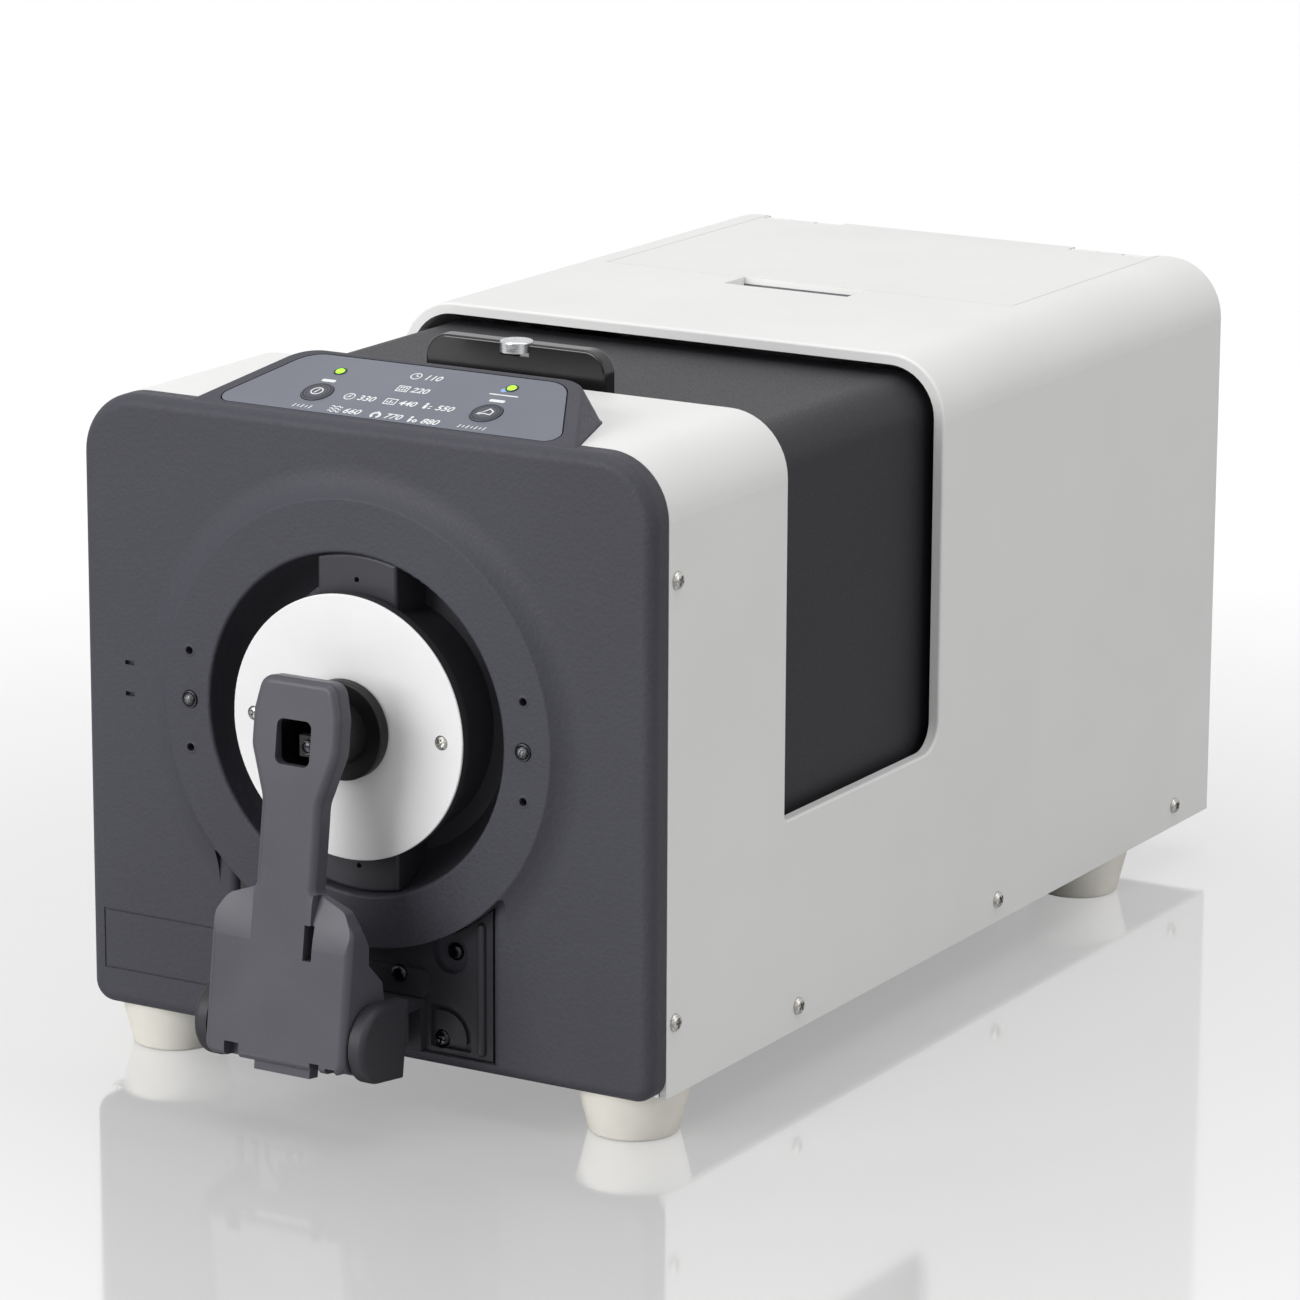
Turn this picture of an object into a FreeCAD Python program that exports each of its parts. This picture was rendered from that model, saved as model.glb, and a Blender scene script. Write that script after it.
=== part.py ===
import FreeCAD
import Part
import math
import os

V = FreeCAD.Vector

# Body envelope, millimetres. Y is 0 on the front panel's face until the parts are saved.
WIDTH = 267.0
DEPTH = 506.0
BODY_HEIGHT = 256.5
FOOT_HEIGHT = 20.0
TOP_RADIUS = 26.0
BOTTOM_RADIUS = 9.0
COVER_WALL = 3.0
FIT_GAP = 0.4
SHEET = 2.0
PAST = 5.0

# Front panel
PANEL_DEPTH = 11.5
PANEL_WALL = 4.0
PANEL_EDGE = 5.0
TONGUE_LENGTH = 14.5
TONGUE_WALL = 3.5
TONGUE_FOOT = 40.0
VENT_SIDE = 22.0
VENT_WIDE = 4.4
VENT_TALL = 1.8
VENT_RISES = (-3.5, 9.5)
FRAME_SIDE = 7.0
FRAME_WIDE = 60.5
FRAME_FOOT = 35.5
FRAME_TALL = 25.5
FRAME_LINE = 0.8
FRAME_DEEP = 0.5

# Measuring ring on the front panel
RING_HEIGHT = 156.5
RING_RISE = 5.0
RING_CREASE_R = 90.6
RING_CREASE_SOFT = 0.5
RING_FLANK = 13.0
RING_INNER_R = 69.0
RING_LIP = 1.5
MOAT_DEPTH = 19.0
MOAT_FLOOR_R = 57.0
MOAT_BELLY = 2.5
MOAT_WALL = 3.5
PORT_HOLE_R = 40.0
ACCESSORY_X = 78.4
ACCESSORY_Z = 20.0
ACCESSORY_R = 1.65
ACCESSORY_DEEP = 7.0
PLUNGER_R = 3.2
PLUNGER_BALL = 0.8

# Target mask and its carrier
MASK_R = 53.7
MASK_THICK = 5.0
MASK_EDGE = 0.5
MASK_FACE = 10.0
MASK_PORT_R = 12.7
MASK_SCREW_X = 44.0
MASK_SCREW_HEAD_R = 2.9
CARRIER_R = 50.0
CARRIER_BORE = 24.0
CARRIER_SPIGOT = 7.0
TAB_WIDTH = 37.0
TAB_FACE = 2.0
TAB_EDGE = 1.5
TAB_PEEP_R = 1.1
TAB_PEEP_OUT = 4.5
TAB_PEEP_DEEP = 4.0

# Console on top of the front panel
CONSOLE_X = 6.2
CONSOLE_FRONT = 5.0
CONSOLE_RIDGE = 52.0
CONSOLE_BACK = 59.0
CONSOLE_RISE = 16.0
CONSOLE_FRONT_HALF = 90.0
CONSOLE_RIDGE_HALF = 65.0
CONSOLE_BACK_HALF = 70.5
CONSOLE_CORNER = 14.0
CONSOLE_EDGE = 1.8
CONSOLE_BORDER = 6.5
CONSOLE_WALL = 3.0
MEMBRANE_THICK = 1.6
MEMBRANE_GROOVE = 0.7
MEMBRANE_CORNER = 6.0
KEY_R = 6.6
KEY_X = 39.4
KEY_ALONG = 17.0
KEY_TRAVEL = 0.8
KEY_PROUD = 0.6
KEY_GAP = 0.3
KEY_EDGE = 0.4
KEY_STEM_R = 4.1
KEY_HOLE_R = 5.1
KEY_REST = 0.2
LED_R = 2.0
LED_X = 39.2
LED_ALONG = {-1: 34.2, 1: 37.3}
LED_PROUD = 0.5
LED_DEEP = 4.0

# Transmission chamber and its sliding cover
NOTCH_FRONT = 105.0
NOTCH_REAR = 269.5
NOTCH_RISE = 18.3
NOTCH_FRONT_R = 3.0
NOTCH_BACK_R = 12.0
NOTCH_EDGE = 1.2
RIM_THICK = 4.8
RIM_WIDE = 7.0
SLIDER_INSET = 9.5
SLIDER_WALL = 3.0
SLIDER_TUCK = 10.0
SLIDER_TRAVEL = 100.0
SLIDER_STOP = 5.5
SLIDER_LIFT = 2.3
HANDLE_Y = 115.0
HANDLE_THICK = 8.0
HANDLE_HALF = 43.0
HANDLE_TOP = 290.0
HANDLE_CORNER = 10.0
HANDLE_EDGE = 1.2
HANDLE_FLANGE = 3.0
HANDLE_GRIP = 8.0
LATCH_Y = 1.5
LATCH_R = 6.8
LATCH_DEEP = 5.6
LATCH_PROUD = 0.8
LATCH_TRAVEL = 1.4
LATCH_REST = 0.3

# Inner bench
BENCH_DROP = 64.5
BENCH_THICK = 6.0
BENCH_FRONT = 34.0
BENCH_SIDE = 6.0
POST_R = 6.0
POST_SIDE = 33.5
POST_END = 20.0
CHAMBER_SIDE = 16.5
CHAMBER_ROOM = 5.0
CHAMBER_WALL = 3.0
RAIL_RISE = 10.0
RAIL_GAP = 0.3

# Integrating sphere
SPHERE_Y = 51.0
SPHERE_R = 50.0
SPHERE_WALL = 4.0
SPHERE_CUT = 26.0
SPHERE_FLANGE_R = 58.0
SPHERE_FLANGE = 4.0
SPHERE_SCREWS = 8
SPHERE_SCREW_R = 54.0
SPHERE_PORT_R = 15.0
SPHERE_GAP = 1.5
STAND_HALF = 32.0
STAND_DEEP = 14.0
STAND_DROP = 30.0

# Receiving optics behind the chamber
BARREL_R = 22.0
BARREL_WALL = 2.5
BARREL_LENGTH = 34.0
BARREL_TUCK = 5.0
LENS_TUCK = 2.0
LENS_THICK = 6.0
CASE_TUCK = 6.0
CASE_HALF = 55.0
CASE_LENGTH = 96.0
CASE_HEIGHT = 130.0
CASE_WALL = 3.0
GRATING_HALF = 22.0
GRATING_THICK = 14.0
GRATING_CURVE = 90.0
GRATING_SAG = 8.0
DETECTOR_THICK = 2.0
DETECTOR_SETBACK = 18.0
DETECTOR_SIZE = 50.0

# Flash lamp beside the sphere
LAMP_NEAR = 0.2
LAMP_FAR = 0.915
LAMP_SETBACK = 6.0
LAMP_WALL = 3.0
LAMP_RISE = 40.0
LAMP_DROP = 30.0
LAMP_WINDOW_R = 8.0
BULB_R = 7.0
BULB_TALL = 52.0

# Electronics in the base
BOARD_X = -5.0
BOARD_Y = 200.0
BOARD_END = 36.0
BOARD_LIFT = 10.0
BOARD_THICK = 1.6
BOARD_CLEAR = 7.0
STANDOFF_R = 3.0
SUPPLY_CLEAR = 13.0
SUPPLY_REAR = 146.0
SUPPLY_LONG = 120.0
SUPPLY_HIGH = 55.0

# Rear lid and the tray under it
LID_SIDE = 31.5
LID_LONG = 148.0
LID_THICK = 3.0
LID_HINGE_END = 5.0
LID_PIN_R = 1.5
LID_BARREL_R = 3.0
LID_BARREL_SIDE = 22.0
LID_BARREL_WIDE = 13.0
LID_LEAF = 6.0
LID_LEG = 20.0
LID_RECESS_HALF = 31.0
LID_RECESS_LONG = 18.0
LID_RECESS_SLOPE = 4.0
LID_RECESS_DEEP = 5.5
TRAY_DEEP = 62.0
TRAY_WALL = 2.0
TRAY_SIDE = 4.0
TRAY_FRONT = 3.0
TRAY_RIM = 8.0
TRAY_REST = 0.2
SPARE_MASK_PORT_R = 4.0

# Sample arm and its hinge bracket
HINGE_Y = -45.5
HINGE_DROP = 114.0
HINGE_PIN_R = 4.0
PIN_PLAY = 0.05
PIN_COVER = 2.0
LUG_R = 15.7
LUG_WIDE = 6.6
LUG_BACK = 17.0
LUG_EDGE = 2.5
BEAM_FRONT = -30.5
BEAM_THICK = 4.5
BEAM_HALF = 38.5
BEAM_RISES = (-6.0, 8.5)
BLOCK_HALF = 28.0
BLOCK_RISE = 4.5
BLOCK_FRONT = -20.0
CAVE_DEEP = 10.0
CAVE_Y = (-18.0, -1.0)
CAVE_RISE = 1.0
ARM_LEAN = 7.9
ARM_FACE = 17.9
ARM_CORNERS = (5.0, 9.0, 7.0, 3.0, 12.0, 9.0, 12.0, 6.0)
ARM_THICK = 9.0
ARM_EDGE = 3.0
ARM_BARREL_R = 14.0
ARM_FLAP_HALF = 32.7
ARM_FLAP_FOOT = 12.0
ARM_FLAP_TOP = 44.0
ARM_SHOULDER = 57.0
ARM_SHOULDER_HALF = 27.0
ARM_SHOULDER_DROP = 5.0
ARM_SHOULDER_FALL = 5.0
ARM_SHOULDER_FOOT = 34.0
ARM_SHOULDER_START = 0.05
ARM_WEB_FRONT = 3.0
ARM_WEB = ((10.0, 13.0), (6.8, 23.0), (-3.7, 30.7), (-4.5, 38.0), (-10.5, 47.0))
ARM_NECK_HALF = 13.7
ARM_NECK_DROP = 23.0
ARM_HEAD_HALF = 20.2
ARM_HEAD_DROP = 3.0
ARM_HEAD_WIDEST = 11.0
ARM_TOP_RISE = 25.0
ARM_TOP_HALF = 17.0
ARM_SIDE_GAP = 0.7
ARM_BOSS = 3.0
ARM_BOSS_END = 33.5
ARM_SLOT = (11.0, 15.0, 31.0, 45.0)
ARM_SLOT_DEEP = 7.0
ARM_NICKS = ((-22.8, -16.0, 6.0), (17.5, 21.8, 3.5), (24.6, 29.0, 2.5))
ARM_NICK_DEEP = 6.0
ARM_PLATE = (-10.0, 16.0)
ARM_PLATE_BACK = 3.0
ARM_PLATE_THICK = 6.0
ARM_PLATE_DROP = 3.5
WINDOW_WIDE = 16.0
WINDOW_TALL = 18.0
WINDOW_CORNER = 3.0
CAMERA_X = (0.5, 9.6)
CAMERA_Z = (-3.5, 5.0)
CAMERA_DEEP = 3.0
CAMERA_LENS_R = 3.0
CAMERA_LENS_DEEP = 1.5
PAD_R = 20.2
PAD_THICK = 5.5
PAD_EDGE = 1.0
PAD_BORE = 7.0
PAD_GAP = 0.3
PAD_TRAVEL = 3.0
STEM_R = 13.0
STEM_WALL = 1.5
STEM_END = 40.0
STEM_CLEAR = 0.6

# Bracket recess in the panel
RECESS_HALF = 60.5
RECESS_RISES = (-17.5, 52.5)
RECESS_DEEP = 5.0
RECESS_BACKING = 8.0
RECESS_ROLL = 4.0
RIB_X = (53.2, 56.8)
RIB_RISES = (-15.5, 39.5)
RIB_RISE = 2.0
RIB_CORNER = 1.7
RIB_EDGE = 1.5
BRACKET_SHEET = 3.0
BRACKET_GAP = 0.5
SMALL_SCREW_X = 17.6
SMALL_SCREW_RISE = 13.8
WELL_SCREW_X = 40.2
WELL_SCREW_RISE = 24.5
WELL_R = 8.3
WELL_DEEP = 6.5
POCKET_SCREW_X = 35.6
POCKET_SCREW_RISE = -11.4
STEP_HALF = 30.6
STEP_RISES = (5.0, 16.5)
STEP_CORNER = 3.0
POCKET_X = (30.8, 49.8)
POCKET_RISES = (-15.0, 2.8)
POCKET_CORNER = 13.0
POCKET_WALL = 2.4
POCKET_RISE = 1.6
POCKET_FLOOR = 1.0
POCKET_EDGE = 1.0

# Screws
SCREW_R = 1.9
SCREW_HEAD_R = 3.6
SCREW_HEAD = 2.0
SCREW_GRIP = 7.0
SCREW_PLAY = 0.1
SIDE_FRONT_Y = 18.0
SIDE_FRONT_Z = (227.0, 50.0)
SIDE_LOW_Y = 117.0
SIDE_LOW_END = 36.0
SIDE_LOW_Z = 30.0
REAR_SCREW_X = 40.0
REAR_SCREW_RISE = 12.0

# Feet
FOOT_TOP_R = 23.0
FOOT_BASE_R = 18.0
FOOT_EDGE = 1.5
FOOT_SIDE = 23.5
FOOT_FRONT_Y = 27.0
FOOT_REAR = 87.0
FOOT_WELL_R = 6.0
FOOT_WELL = 12.0

# Rear panel
REAR_INSET = 1.0
REAR_SHEET = 2.5
FAN_SIDE = 63.5
FAN_Z = 150.0
FAN_SIZE = 60.0
FAN_DEEP = 20.0
FAN_HOLE_R = 28.0
FAN_HUB_R = 12.0
FAN_HUB_GAP = 0.5
FAN_HUB_LONG = 13.0
FAN_STRUT = 3.0
FAN_BLADES = 7
FAN_BLADE_WIDE = 10.0
FAN_BLADE_THICK = 1.6
FAN_BLADE_PITCH = 40.0
FAN_BLADE_GAP = 1.5
FAN_SHAFT_R = 1.5
FAN_SHAFT_LONG = 14.0
GRILLE_RINGS = (28.0, 22.0, 16.5)
GRILLE_SLOT = 3.0
GRILLE_SPOKE = 4.0
INLET_SIDE = 48.5
INLET_Z = 70.0
INLET_WIDE = 27.0
INLET_TALL = 20.0
INLET_DEEP = 22.0
INLET_ROOM = (23.0, 15.0, 16.0)
INLET_BLADES = ((-7.0, -2.0), (0.0, 2.0), (7.0, -2.0))
INLET_BLADE = (2.0, 4.0)
INLET_BLADE_BACK = 3.0
SWITCH_NEXT = 35.0
SWITCH_WIDE = 13.0
SWITCH_TALL = 19.0
SWITCH_WALL = 1.0
SWITCH_DEEP = 14.0
ROCKER_SIDE = 0.8
ROCKER_END = 1.4
ROCKER_BACK = 5.0
ROCKER_PEAK = 1.6
ROCKER_DIP = 0.4
ROCKER_TAPER = 3.0
ROCKER_TILT = 7.0
ROCKER_PIN_R = 1.2
ROCKER_PIN_DEEP = 3.0
PORT_Z = 70.0
USB_SOCKET = (0.0, 12.0, 11.0, 16.0)
SERIAL_SOCKET = (-40.0, 19.0, 10.0, 12.0)
SOCKET_WALL = 1.5
SOCKET_FLOOR = 4.0

# Derived places
HALF = WIDTH / 2.0
BASE = FOOT_HEIGHT
TOP = FOOT_HEIGHT + BODY_HEIGHT
INNER_HALF = HALF - COVER_WALL
SEAT_HALF = INNER_HALF - FIT_GAP
REAR_FACE = DEPTH - REAR_INSET
REAR_BACK = REAR_FACE - REAR_SHEET
TRAY_TOP = BASE + SHEET
BENCH_TOP = RING_HEIGHT - BENCH_DROP
BENCH_HALF = HALF - BENCH_SIDE
POST_X = HALF - POST_SIDE
CHAMBER_HALF = HALF - CHAMBER_SIDE
NOTCH_BACK = DEPTH - NOTCH_REAR
NOTCH_FLOOR = BENCH_TOP + NOTCH_RISE
SLIDER_HALF = HALF - SLIDER_INSET
SLIDER_TOP = TOP - SLIDER_INSET
SLIDER_FRONT = NOTCH_FRONT - SLIDER_TUCK
SLIDER_BACK = NOTCH_BACK + SLIDER_TUCK
BENCH_BACK = SLIDER_BACK + SLIDER_TRAVEL + SLIDER_STOP
SLIDER_FOOT = BENCH_TOP + SLIDER_LIFT
RAIL_TOP = BENCH_TOP + RAIL_RISE
CHAMBER_TOP = SLIDER_TOP - CHAMBER_ROOM
CHAMBER_FRONT = SPHERE_Y + SPHERE_R + SPHERE_GAP
CASE_FRONT = NOTCH_BACK + FIT_GAP - BARREL_TUCK + BARREL_LENGTH - CASE_TUCK
CASE_BACK = min(CASE_FRONT + CASE_LENGTH, BENCH_BACK)
LID_HALF = HALF - LID_SIDE
LID_FRONT = DEPTH - LID_LONG
LID_UNDER = TOP - LID_THICK
LID_HINGE_Y = DEPTH - LID_HINGE_END
LID_HINGE_Z = TOP - LID_BARREL_R - SCREW_PLAY
LID_BARREL_X = LID_HALF - LID_BARREL_SIDE
TRAY_HALF = LID_HALF - TRAY_SIDE
TRAY_Y = (LID_FRONT + TRAY_FRONT, LID_HINGE_Y - LID_BARREL_R - TRAY_SIDE)
BOARD_WIDE = POST_X - POST_R - BOARD_CLEAR - BOARD_X
BOARD_LONG = DEPTH - BOARD_END - BOARD_Y
SUPPLY_X = -POST_X
SUPPLY_WIDE = POST_X - SUPPLY_CLEAR
SUPPLY_Y = DEPTH - SUPPLY_REAR
FOOT_X = HALF - FOOT_SIDE
FOOT_REAR_Y = DEPTH - FOOT_REAR
SIDE_LOW_BACK = DEPTH - SIDE_LOW_END
SIDE_SCREWS = ([(SIDE_FRONT_Y, z) for z in SIDE_FRONT_Z]
               + [(y, SIDE_LOW_Z) for y in (SIDE_LOW_Y, (SIDE_LOW_Y + SIDE_LOW_BACK) / 2, SIDE_LOW_BACK)])
HINGE_Z = RING_HEIGHT - HINGE_DROP
BEAM_FOOT, BEAM_TOP = [HINGE_Z + rise for rise in BEAM_RISES]
BLOCK_TOP = HINGE_Z + BLOCK_RISE
CAVE_TOP = HINGE_Z + CAVE_RISE
RECESS_FOOT, RECESS_TOP = [HINGE_Z + rise for rise in RECESS_RISES]
RIB_Z = [HINGE_Z + rise for rise in RIB_RISES]
STEP_FOOT, STEP_TOP = [HINGE_Z + rise for rise in STEP_RISES]
POCKET_Z = [HINGE_Z + rise for rise in POCKET_RISES]
FAN_X = FAN_SIDE - HALF
INLET_X = HALF - INLET_SIDE
SWITCH_X = INLET_X - SWITCH_NEXT
LEAN = math.radians(ARM_LEAN)
LEAN_SIN = math.sin(LEAN)
LEAN_COS = math.cos(LEAN)
HEAD_BORE_END = STEM_END + PAD_TRAVEL + STEM_CLEAR
ARM_REACH = (RING_HEIGHT - HINGE_Z) / LEAN_COS
CONSOLE_LONG = math.hypot(CONSOLE_RIDGE - CONSOLE_FRONT, CONSOLE_RISE)
CONSOLE_SLOPE = math.degrees(math.atan2(CONSOLE_RISE, CONSOLE_RIDGE - CONSOLE_FRONT))
ARM_FRONT = HINGE_Y - ARM_FACE * LEAN_COS - ARM_FLAP_FOOT * LEAN_SIN
MIDDLE = (REAR_FACE + SCREW_HEAD + ARM_FRONT) / 2.0


def box(x0, x1, y0, y1, z0, z1):
    return Part.makeBox(x1 - x0, y1 - y0, z1 - z0, V(x0, y0, z0))


def rod(radius, start, end):
    along = end - start
    return Part.makeCylinder(radius, along.Length, start, along)


def tube(outer, inner, start, end):
    return rod(outer, start, end).cut(rod(inner, start, end))


def mirrored(shape):
    return shape.mirror(V(0, 0, 0), V(1, 0, 0))


def both_sides(shape):
    return [shape, mirrored(shape)]


def joined(shapes):
    return shapes[0].multiFuse(shapes[1:]).removeSplitter()


def polygon_face(points):
    return Part.Face(Part.makePolygon(points + points[:1]))


def rounded_polygon(points, radii):
    # Closed wire through the points, with an arc of its own radius at each corner.
    edges = []
    ends = []
    count = len(points)
    for i in range(count):
        here = points[i]
        back = (points[i - 1] - here).normalize()
        ahead = (points[(i + 1) % count] - here).normalize()
        half = back.getAngle(ahead) / 2.0
        if radii[i] > 0:
            reach = radii[i] / math.tan(half)
            start = here + back * reach
            end = here + ahead * reach
            axis = (back + ahead).normalize()
            middle = here + axis * (radii[i] / math.sin(half) - radii[i])
            ends.append((start, end, middle))
        else:
            ends.append((here, here, None))
    for i in range(count):
        start, end, middle = ends[i]
        following = ends[(i + 1) % count][0]
        if middle is not None:
            edges.append(Part.Arc(start, middle, end).toShape())
        if (following - end).Length > 1e-6:
            edges.append(Part.makeLine(end, following))
    return Part.Wire(edges)


def prism(points, radii, along):
    return Part.Face(rounded_polygon(points, radii)).extrude(along)


def body_section(inset, y0, y1, foot):
    # Solid with the body's rounded outline, drawn in by the inset.
    half = HALF - inset
    top_r = max(TOP_RADIUS - inset, 1.0)
    foot_r = max(BOTTOM_RADIUS - inset, 1.0)
    corners = [V(-half, y0, foot), V(half, y0, foot), V(half, y0, TOP - inset), V(-half, y0, TOP - inset)]
    return prism(corners, [foot_r, foot_r, top_r, top_r], V(0, y1 - y0, 0))


def arch(inset, y0, y1, foot):
    # The same outline with square lower corners.
    half = HALF - inset
    top_r = max(TOP_RADIUS - inset, 1.0)
    corners = [V(-half, y0, foot), V(half, y0, foot), V(half, y0, TOP - inset), V(-half, y0, TOP - inset)]
    return prism(corners, [0, 0, top_r, top_r], V(0, y1 - y0, 0))


def rounded_edges(shape, radius, wanted):
    edges = [edge for edge in shape.Edges if wanted(edge)]
    return shape.makeFillet(radius, edges)


def on_plane(edge, axis, value):
    low = edge.BoundBox
    pairs = ((low.XMin, low.XMax), (low.YMin, low.YMax), (low.ZMin, low.ZMax))
    return all(abs(end - value) < 1e-4 for end in pairs[axis])


def turned(points, centre_z):
    # Solid of revolution about the measuring axis; the points are (radius, y) corners or arcs.
    edges = []
    for piece in points:
        placed = [V(r, y, centre_z) for r, y in piece]
        if len(placed) == 3:
            edges.append(Part.Arc(placed[0], placed[1], placed[2]).toShape())
        else:
            edges.append(Part.makeLine(placed[0], placed[1]))
    face = Part.Face(Part.Wire(edges))
    return face.revolve(V(0, 0, centre_z), V(0, 1, 0), 360)


def screw(seat, out, grip, radius=SCREW_HEAD_R):
    # Pan head with a cross recess; the seat is the point under the head, out points away from it.
    head_end = seat + out * SCREW_HEAD
    head = rod(radius, seat, head_end)
    head = rounded_edges(head, SCREW_HEAD * 0.45, lambda e: e.CenterOfMass.isEqual(head_end, 1e-3))
    side = V(0, 0, 1) if abs(out.z) < 0.5 else V(1, 0, 0)
    across = out.cross(side)
    solid = head.fuse(rod(SCREW_R, seat - out * grip, seat))
    for long, short in ((side, across), (across, side)):
        half = radius * 0.55
        thin = radius * 0.13
        corner = head_end - long * half - short * thin - out * (SCREW_HEAD * 0.6)
        blade = polygon_face([corner, corner + long * half * 2,
                              corner + long * half * 2 + short * thin * 2,
                              corner + short * thin * 2]).extrude(out * SCREW_HEAD)
        solid = solid.cut(blade)
    return solid


def screw_hole(seat, out, grip):
    return rod(SCREW_R + SCREW_PLAY, seat - out * (grip + 1.0), seat + out * 0.5)


def side_seats():
    seats = []
    for side in (1, -1):
        for y, z in SIDE_SCREWS:
            seats.append((V(side * HALF, y, z), V(side, 0, 0)))
    return seats


def console_point(x, along, out):
    # Point on the sloping console: x across from its middle, along up the slope, out above its surface.
    slope = math.radians(CONSOLE_SLOPE)
    y = CONSOLE_FRONT + along * math.cos(slope) - out * math.sin(slope)
    return V(CONSOLE_X + x, y, TOP + along * math.sin(slope) + out * math.cos(slope))


CONSOLE_OUT = console_point(0, 0, 1) - console_point(0, 0, 0)


def console_outline(height, inset, corner):
    # Plan outline of the console at a height: straight front, drafted flanks and back.
    share = (height - TOP) / CONSOLE_RISE
    front = CONSOLE_FRONT + inset
    back = CONSOLE_BACK - inset - (CONSOLE_BACK - CONSOLE_RIDGE) * share
    back_half = CONSOLE_BACK_HALF - inset - (CONSOLE_BACK_HALF - CONSOLE_RIDGE_HALF) * share
    splay = (CONSOLE_FRONT_HALF - CONSOLE_BACK_HALF) / (CONSOLE_BACK - CONSOLE_FRONT)
    front_half = back_half + splay * (back - front)
    corners = [V(CONSOLE_X - front_half, front, height), V(CONSOLE_X + front_half, front, height),
               V(CONSOLE_X + back_half, back, height), V(CONSOLE_X - back_half, back, height)]
    return rounded_polygon(corners, [0, 0, corner, corner])


def console_block(inset, foot, edge):
    # Drafted block on a straight foot, cut by the sloping key surface, with its upper edges rounded.
    high = TOP + CONSOLE_RISE + CONSOLE_WALL
    corner = CONSOLE_CORNER - inset
    base = console_outline(TOP, inset, corner)
    block = Part.makeLoft([base, console_outline(high, inset, corner)], True, True)
    block = block.fuse(Part.Face(base).extrude(V(0, 0, foot - TOP)))
    wide = CONSOLE_FRONT_HALF * 2
    corners = [console_point(-wide, -wide, -inset), console_point(wide, -wide, -inset),
               console_point(wide, wide, -inset), console_point(-wide, wide, -inset)]
    block = block.cut(polygon_face(corners).extrude(CONSOLE_OUT * wide))
    if edge > 0:
        block = rounded_edges(block, edge, on_console_rim)
    return block


def membrane_outline(inset, out):
    slant = (CONSOLE_FRONT_HALF - CONSOLE_RIDGE_HALF) / CONSOLE_LONG
    low = CONSOLE_BORDER * 0.3 + inset
    high = CONSOLE_LONG - CONSOLE_BORDER * 0.5 - inset
    front = CONSOLE_FRONT_HALF - slant * low - CONSOLE_BORDER - inset
    ridge = CONSOLE_FRONT_HALF - slant * high - CONSOLE_BORDER - inset
    corners = [console_point(-front, low, out), console_point(front, low, out),
               console_point(ridge, high, out), console_point(-ridge, high, out)]
    corner = MEMBRANE_CORNER - inset
    return rounded_polygon(corners, [corner, corner, CONSOLE_CORNER - inset, CONSOLE_CORNER - inset])


def console_rod(radius, x, along, low, high):
    return rod(radius, console_point(x, along, low), console_point(x, along, high))


def on_console_rim(edge):
    middle = edge.CenterOfMass
    above = (middle - console_point(0, 0, 0)).dot(CONSOLE_OUT)
    return abs(above) < 1e-3 and middle.y > CONSOLE_FRONT + 1


def main_cover():
    outer = arch(0, PANEL_DEPTH + FIT_GAP, DEPTH, BASE)
    cover = outer.cut(arch(COVER_WALL, PANEL_DEPTH, DEPTH + PAST, BASE - PAST))
    rim_y = (NOTCH_FRONT - RIM_WIDE, NOTCH_BACK + RIM_WIDE)
    rim_foot = NOTCH_FLOOR - RIM_WIDE
    rim = arch(0, rim_y[0], rim_y[1], rim_foot)
    cover = cover.fuse(rim.cut(arch(RIM_THICK, rim_y[0], rim_y[1], rim_foot - PAST)))
    above = TOP + PAST
    side = -HALF - PAST
    corners = [V(side, NOTCH_FRONT, NOTCH_FLOOR), V(side, NOTCH_BACK, NOTCH_FLOOR),
               V(side, NOTCH_BACK, above), V(side, NOTCH_FRONT, above)]
    cover = cover.cut(prism(corners, [NOTCH_FRONT_R, NOTCH_BACK_R, 0, 0], V(WIDTH + PAST * 2, 0, 0)))
    cover = cover.cut(box(-LID_HALF - FIT_GAP, LID_HALF + FIT_GAP, LID_FRONT - FIT_GAP, DEPTH + PAST,
                          LID_UNDER - SHEET, above))
    cover = finger_recess(cover)
    hole = Part.Face(console_outline(TOP, -FIT_GAP, CONSOLE_CORNER + FIT_GAP))
    hole.translate(V(0, 0, -COVER_WALL - PAST))
    cover = cover.cut(hole.extrude(V(0, 0, COVER_WALL + PAST * 2)))
    for seat, out in side_seats():
        cover = cover.cut(screw_hole(seat, out, SCREW_GRIP))
    return rounded_edges(cover.removeSplitter(), NOTCH_EDGE, on_notch_rim)


def on_notch_rim(edge):
    across = max(abs(edge.BoundBox.XMin), abs(edge.BoundBox.XMax))
    on_face = on_plane(edge, 1, NOTCH_BACK) or on_plane(edge, 1, NOTCH_FRONT)
    return on_face and edge.BoundBox.ZMax > NOTCH_FLOOR and across > HALF - 1e-3


def finger_recess(cover):
    # Dished pocket in front of the lid, with a sloping front wall.
    front = LID_FRONT - FIT_GAP - LID_RECESS_LONG
    floor = TOP - LID_RECESS_DEEP
    half = LID_RECESS_HALF
    dish = box(-half - SHEET, half + SHEET, front - SHEET, LID_FRONT - FIT_GAP, floor - SHEET,
               TOP - COVER_WALL / 2)
    pocket = polygon_face([V(-half, front, TOP), V(-half, front + LID_RECESS_SLOPE, floor),
                           V(-half, LID_FRONT, floor), V(-half, LID_FRONT, TOP)])
    return cover.fuse(dish).cut(pocket.extrude(V(half * 2, 0, 0)))


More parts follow.
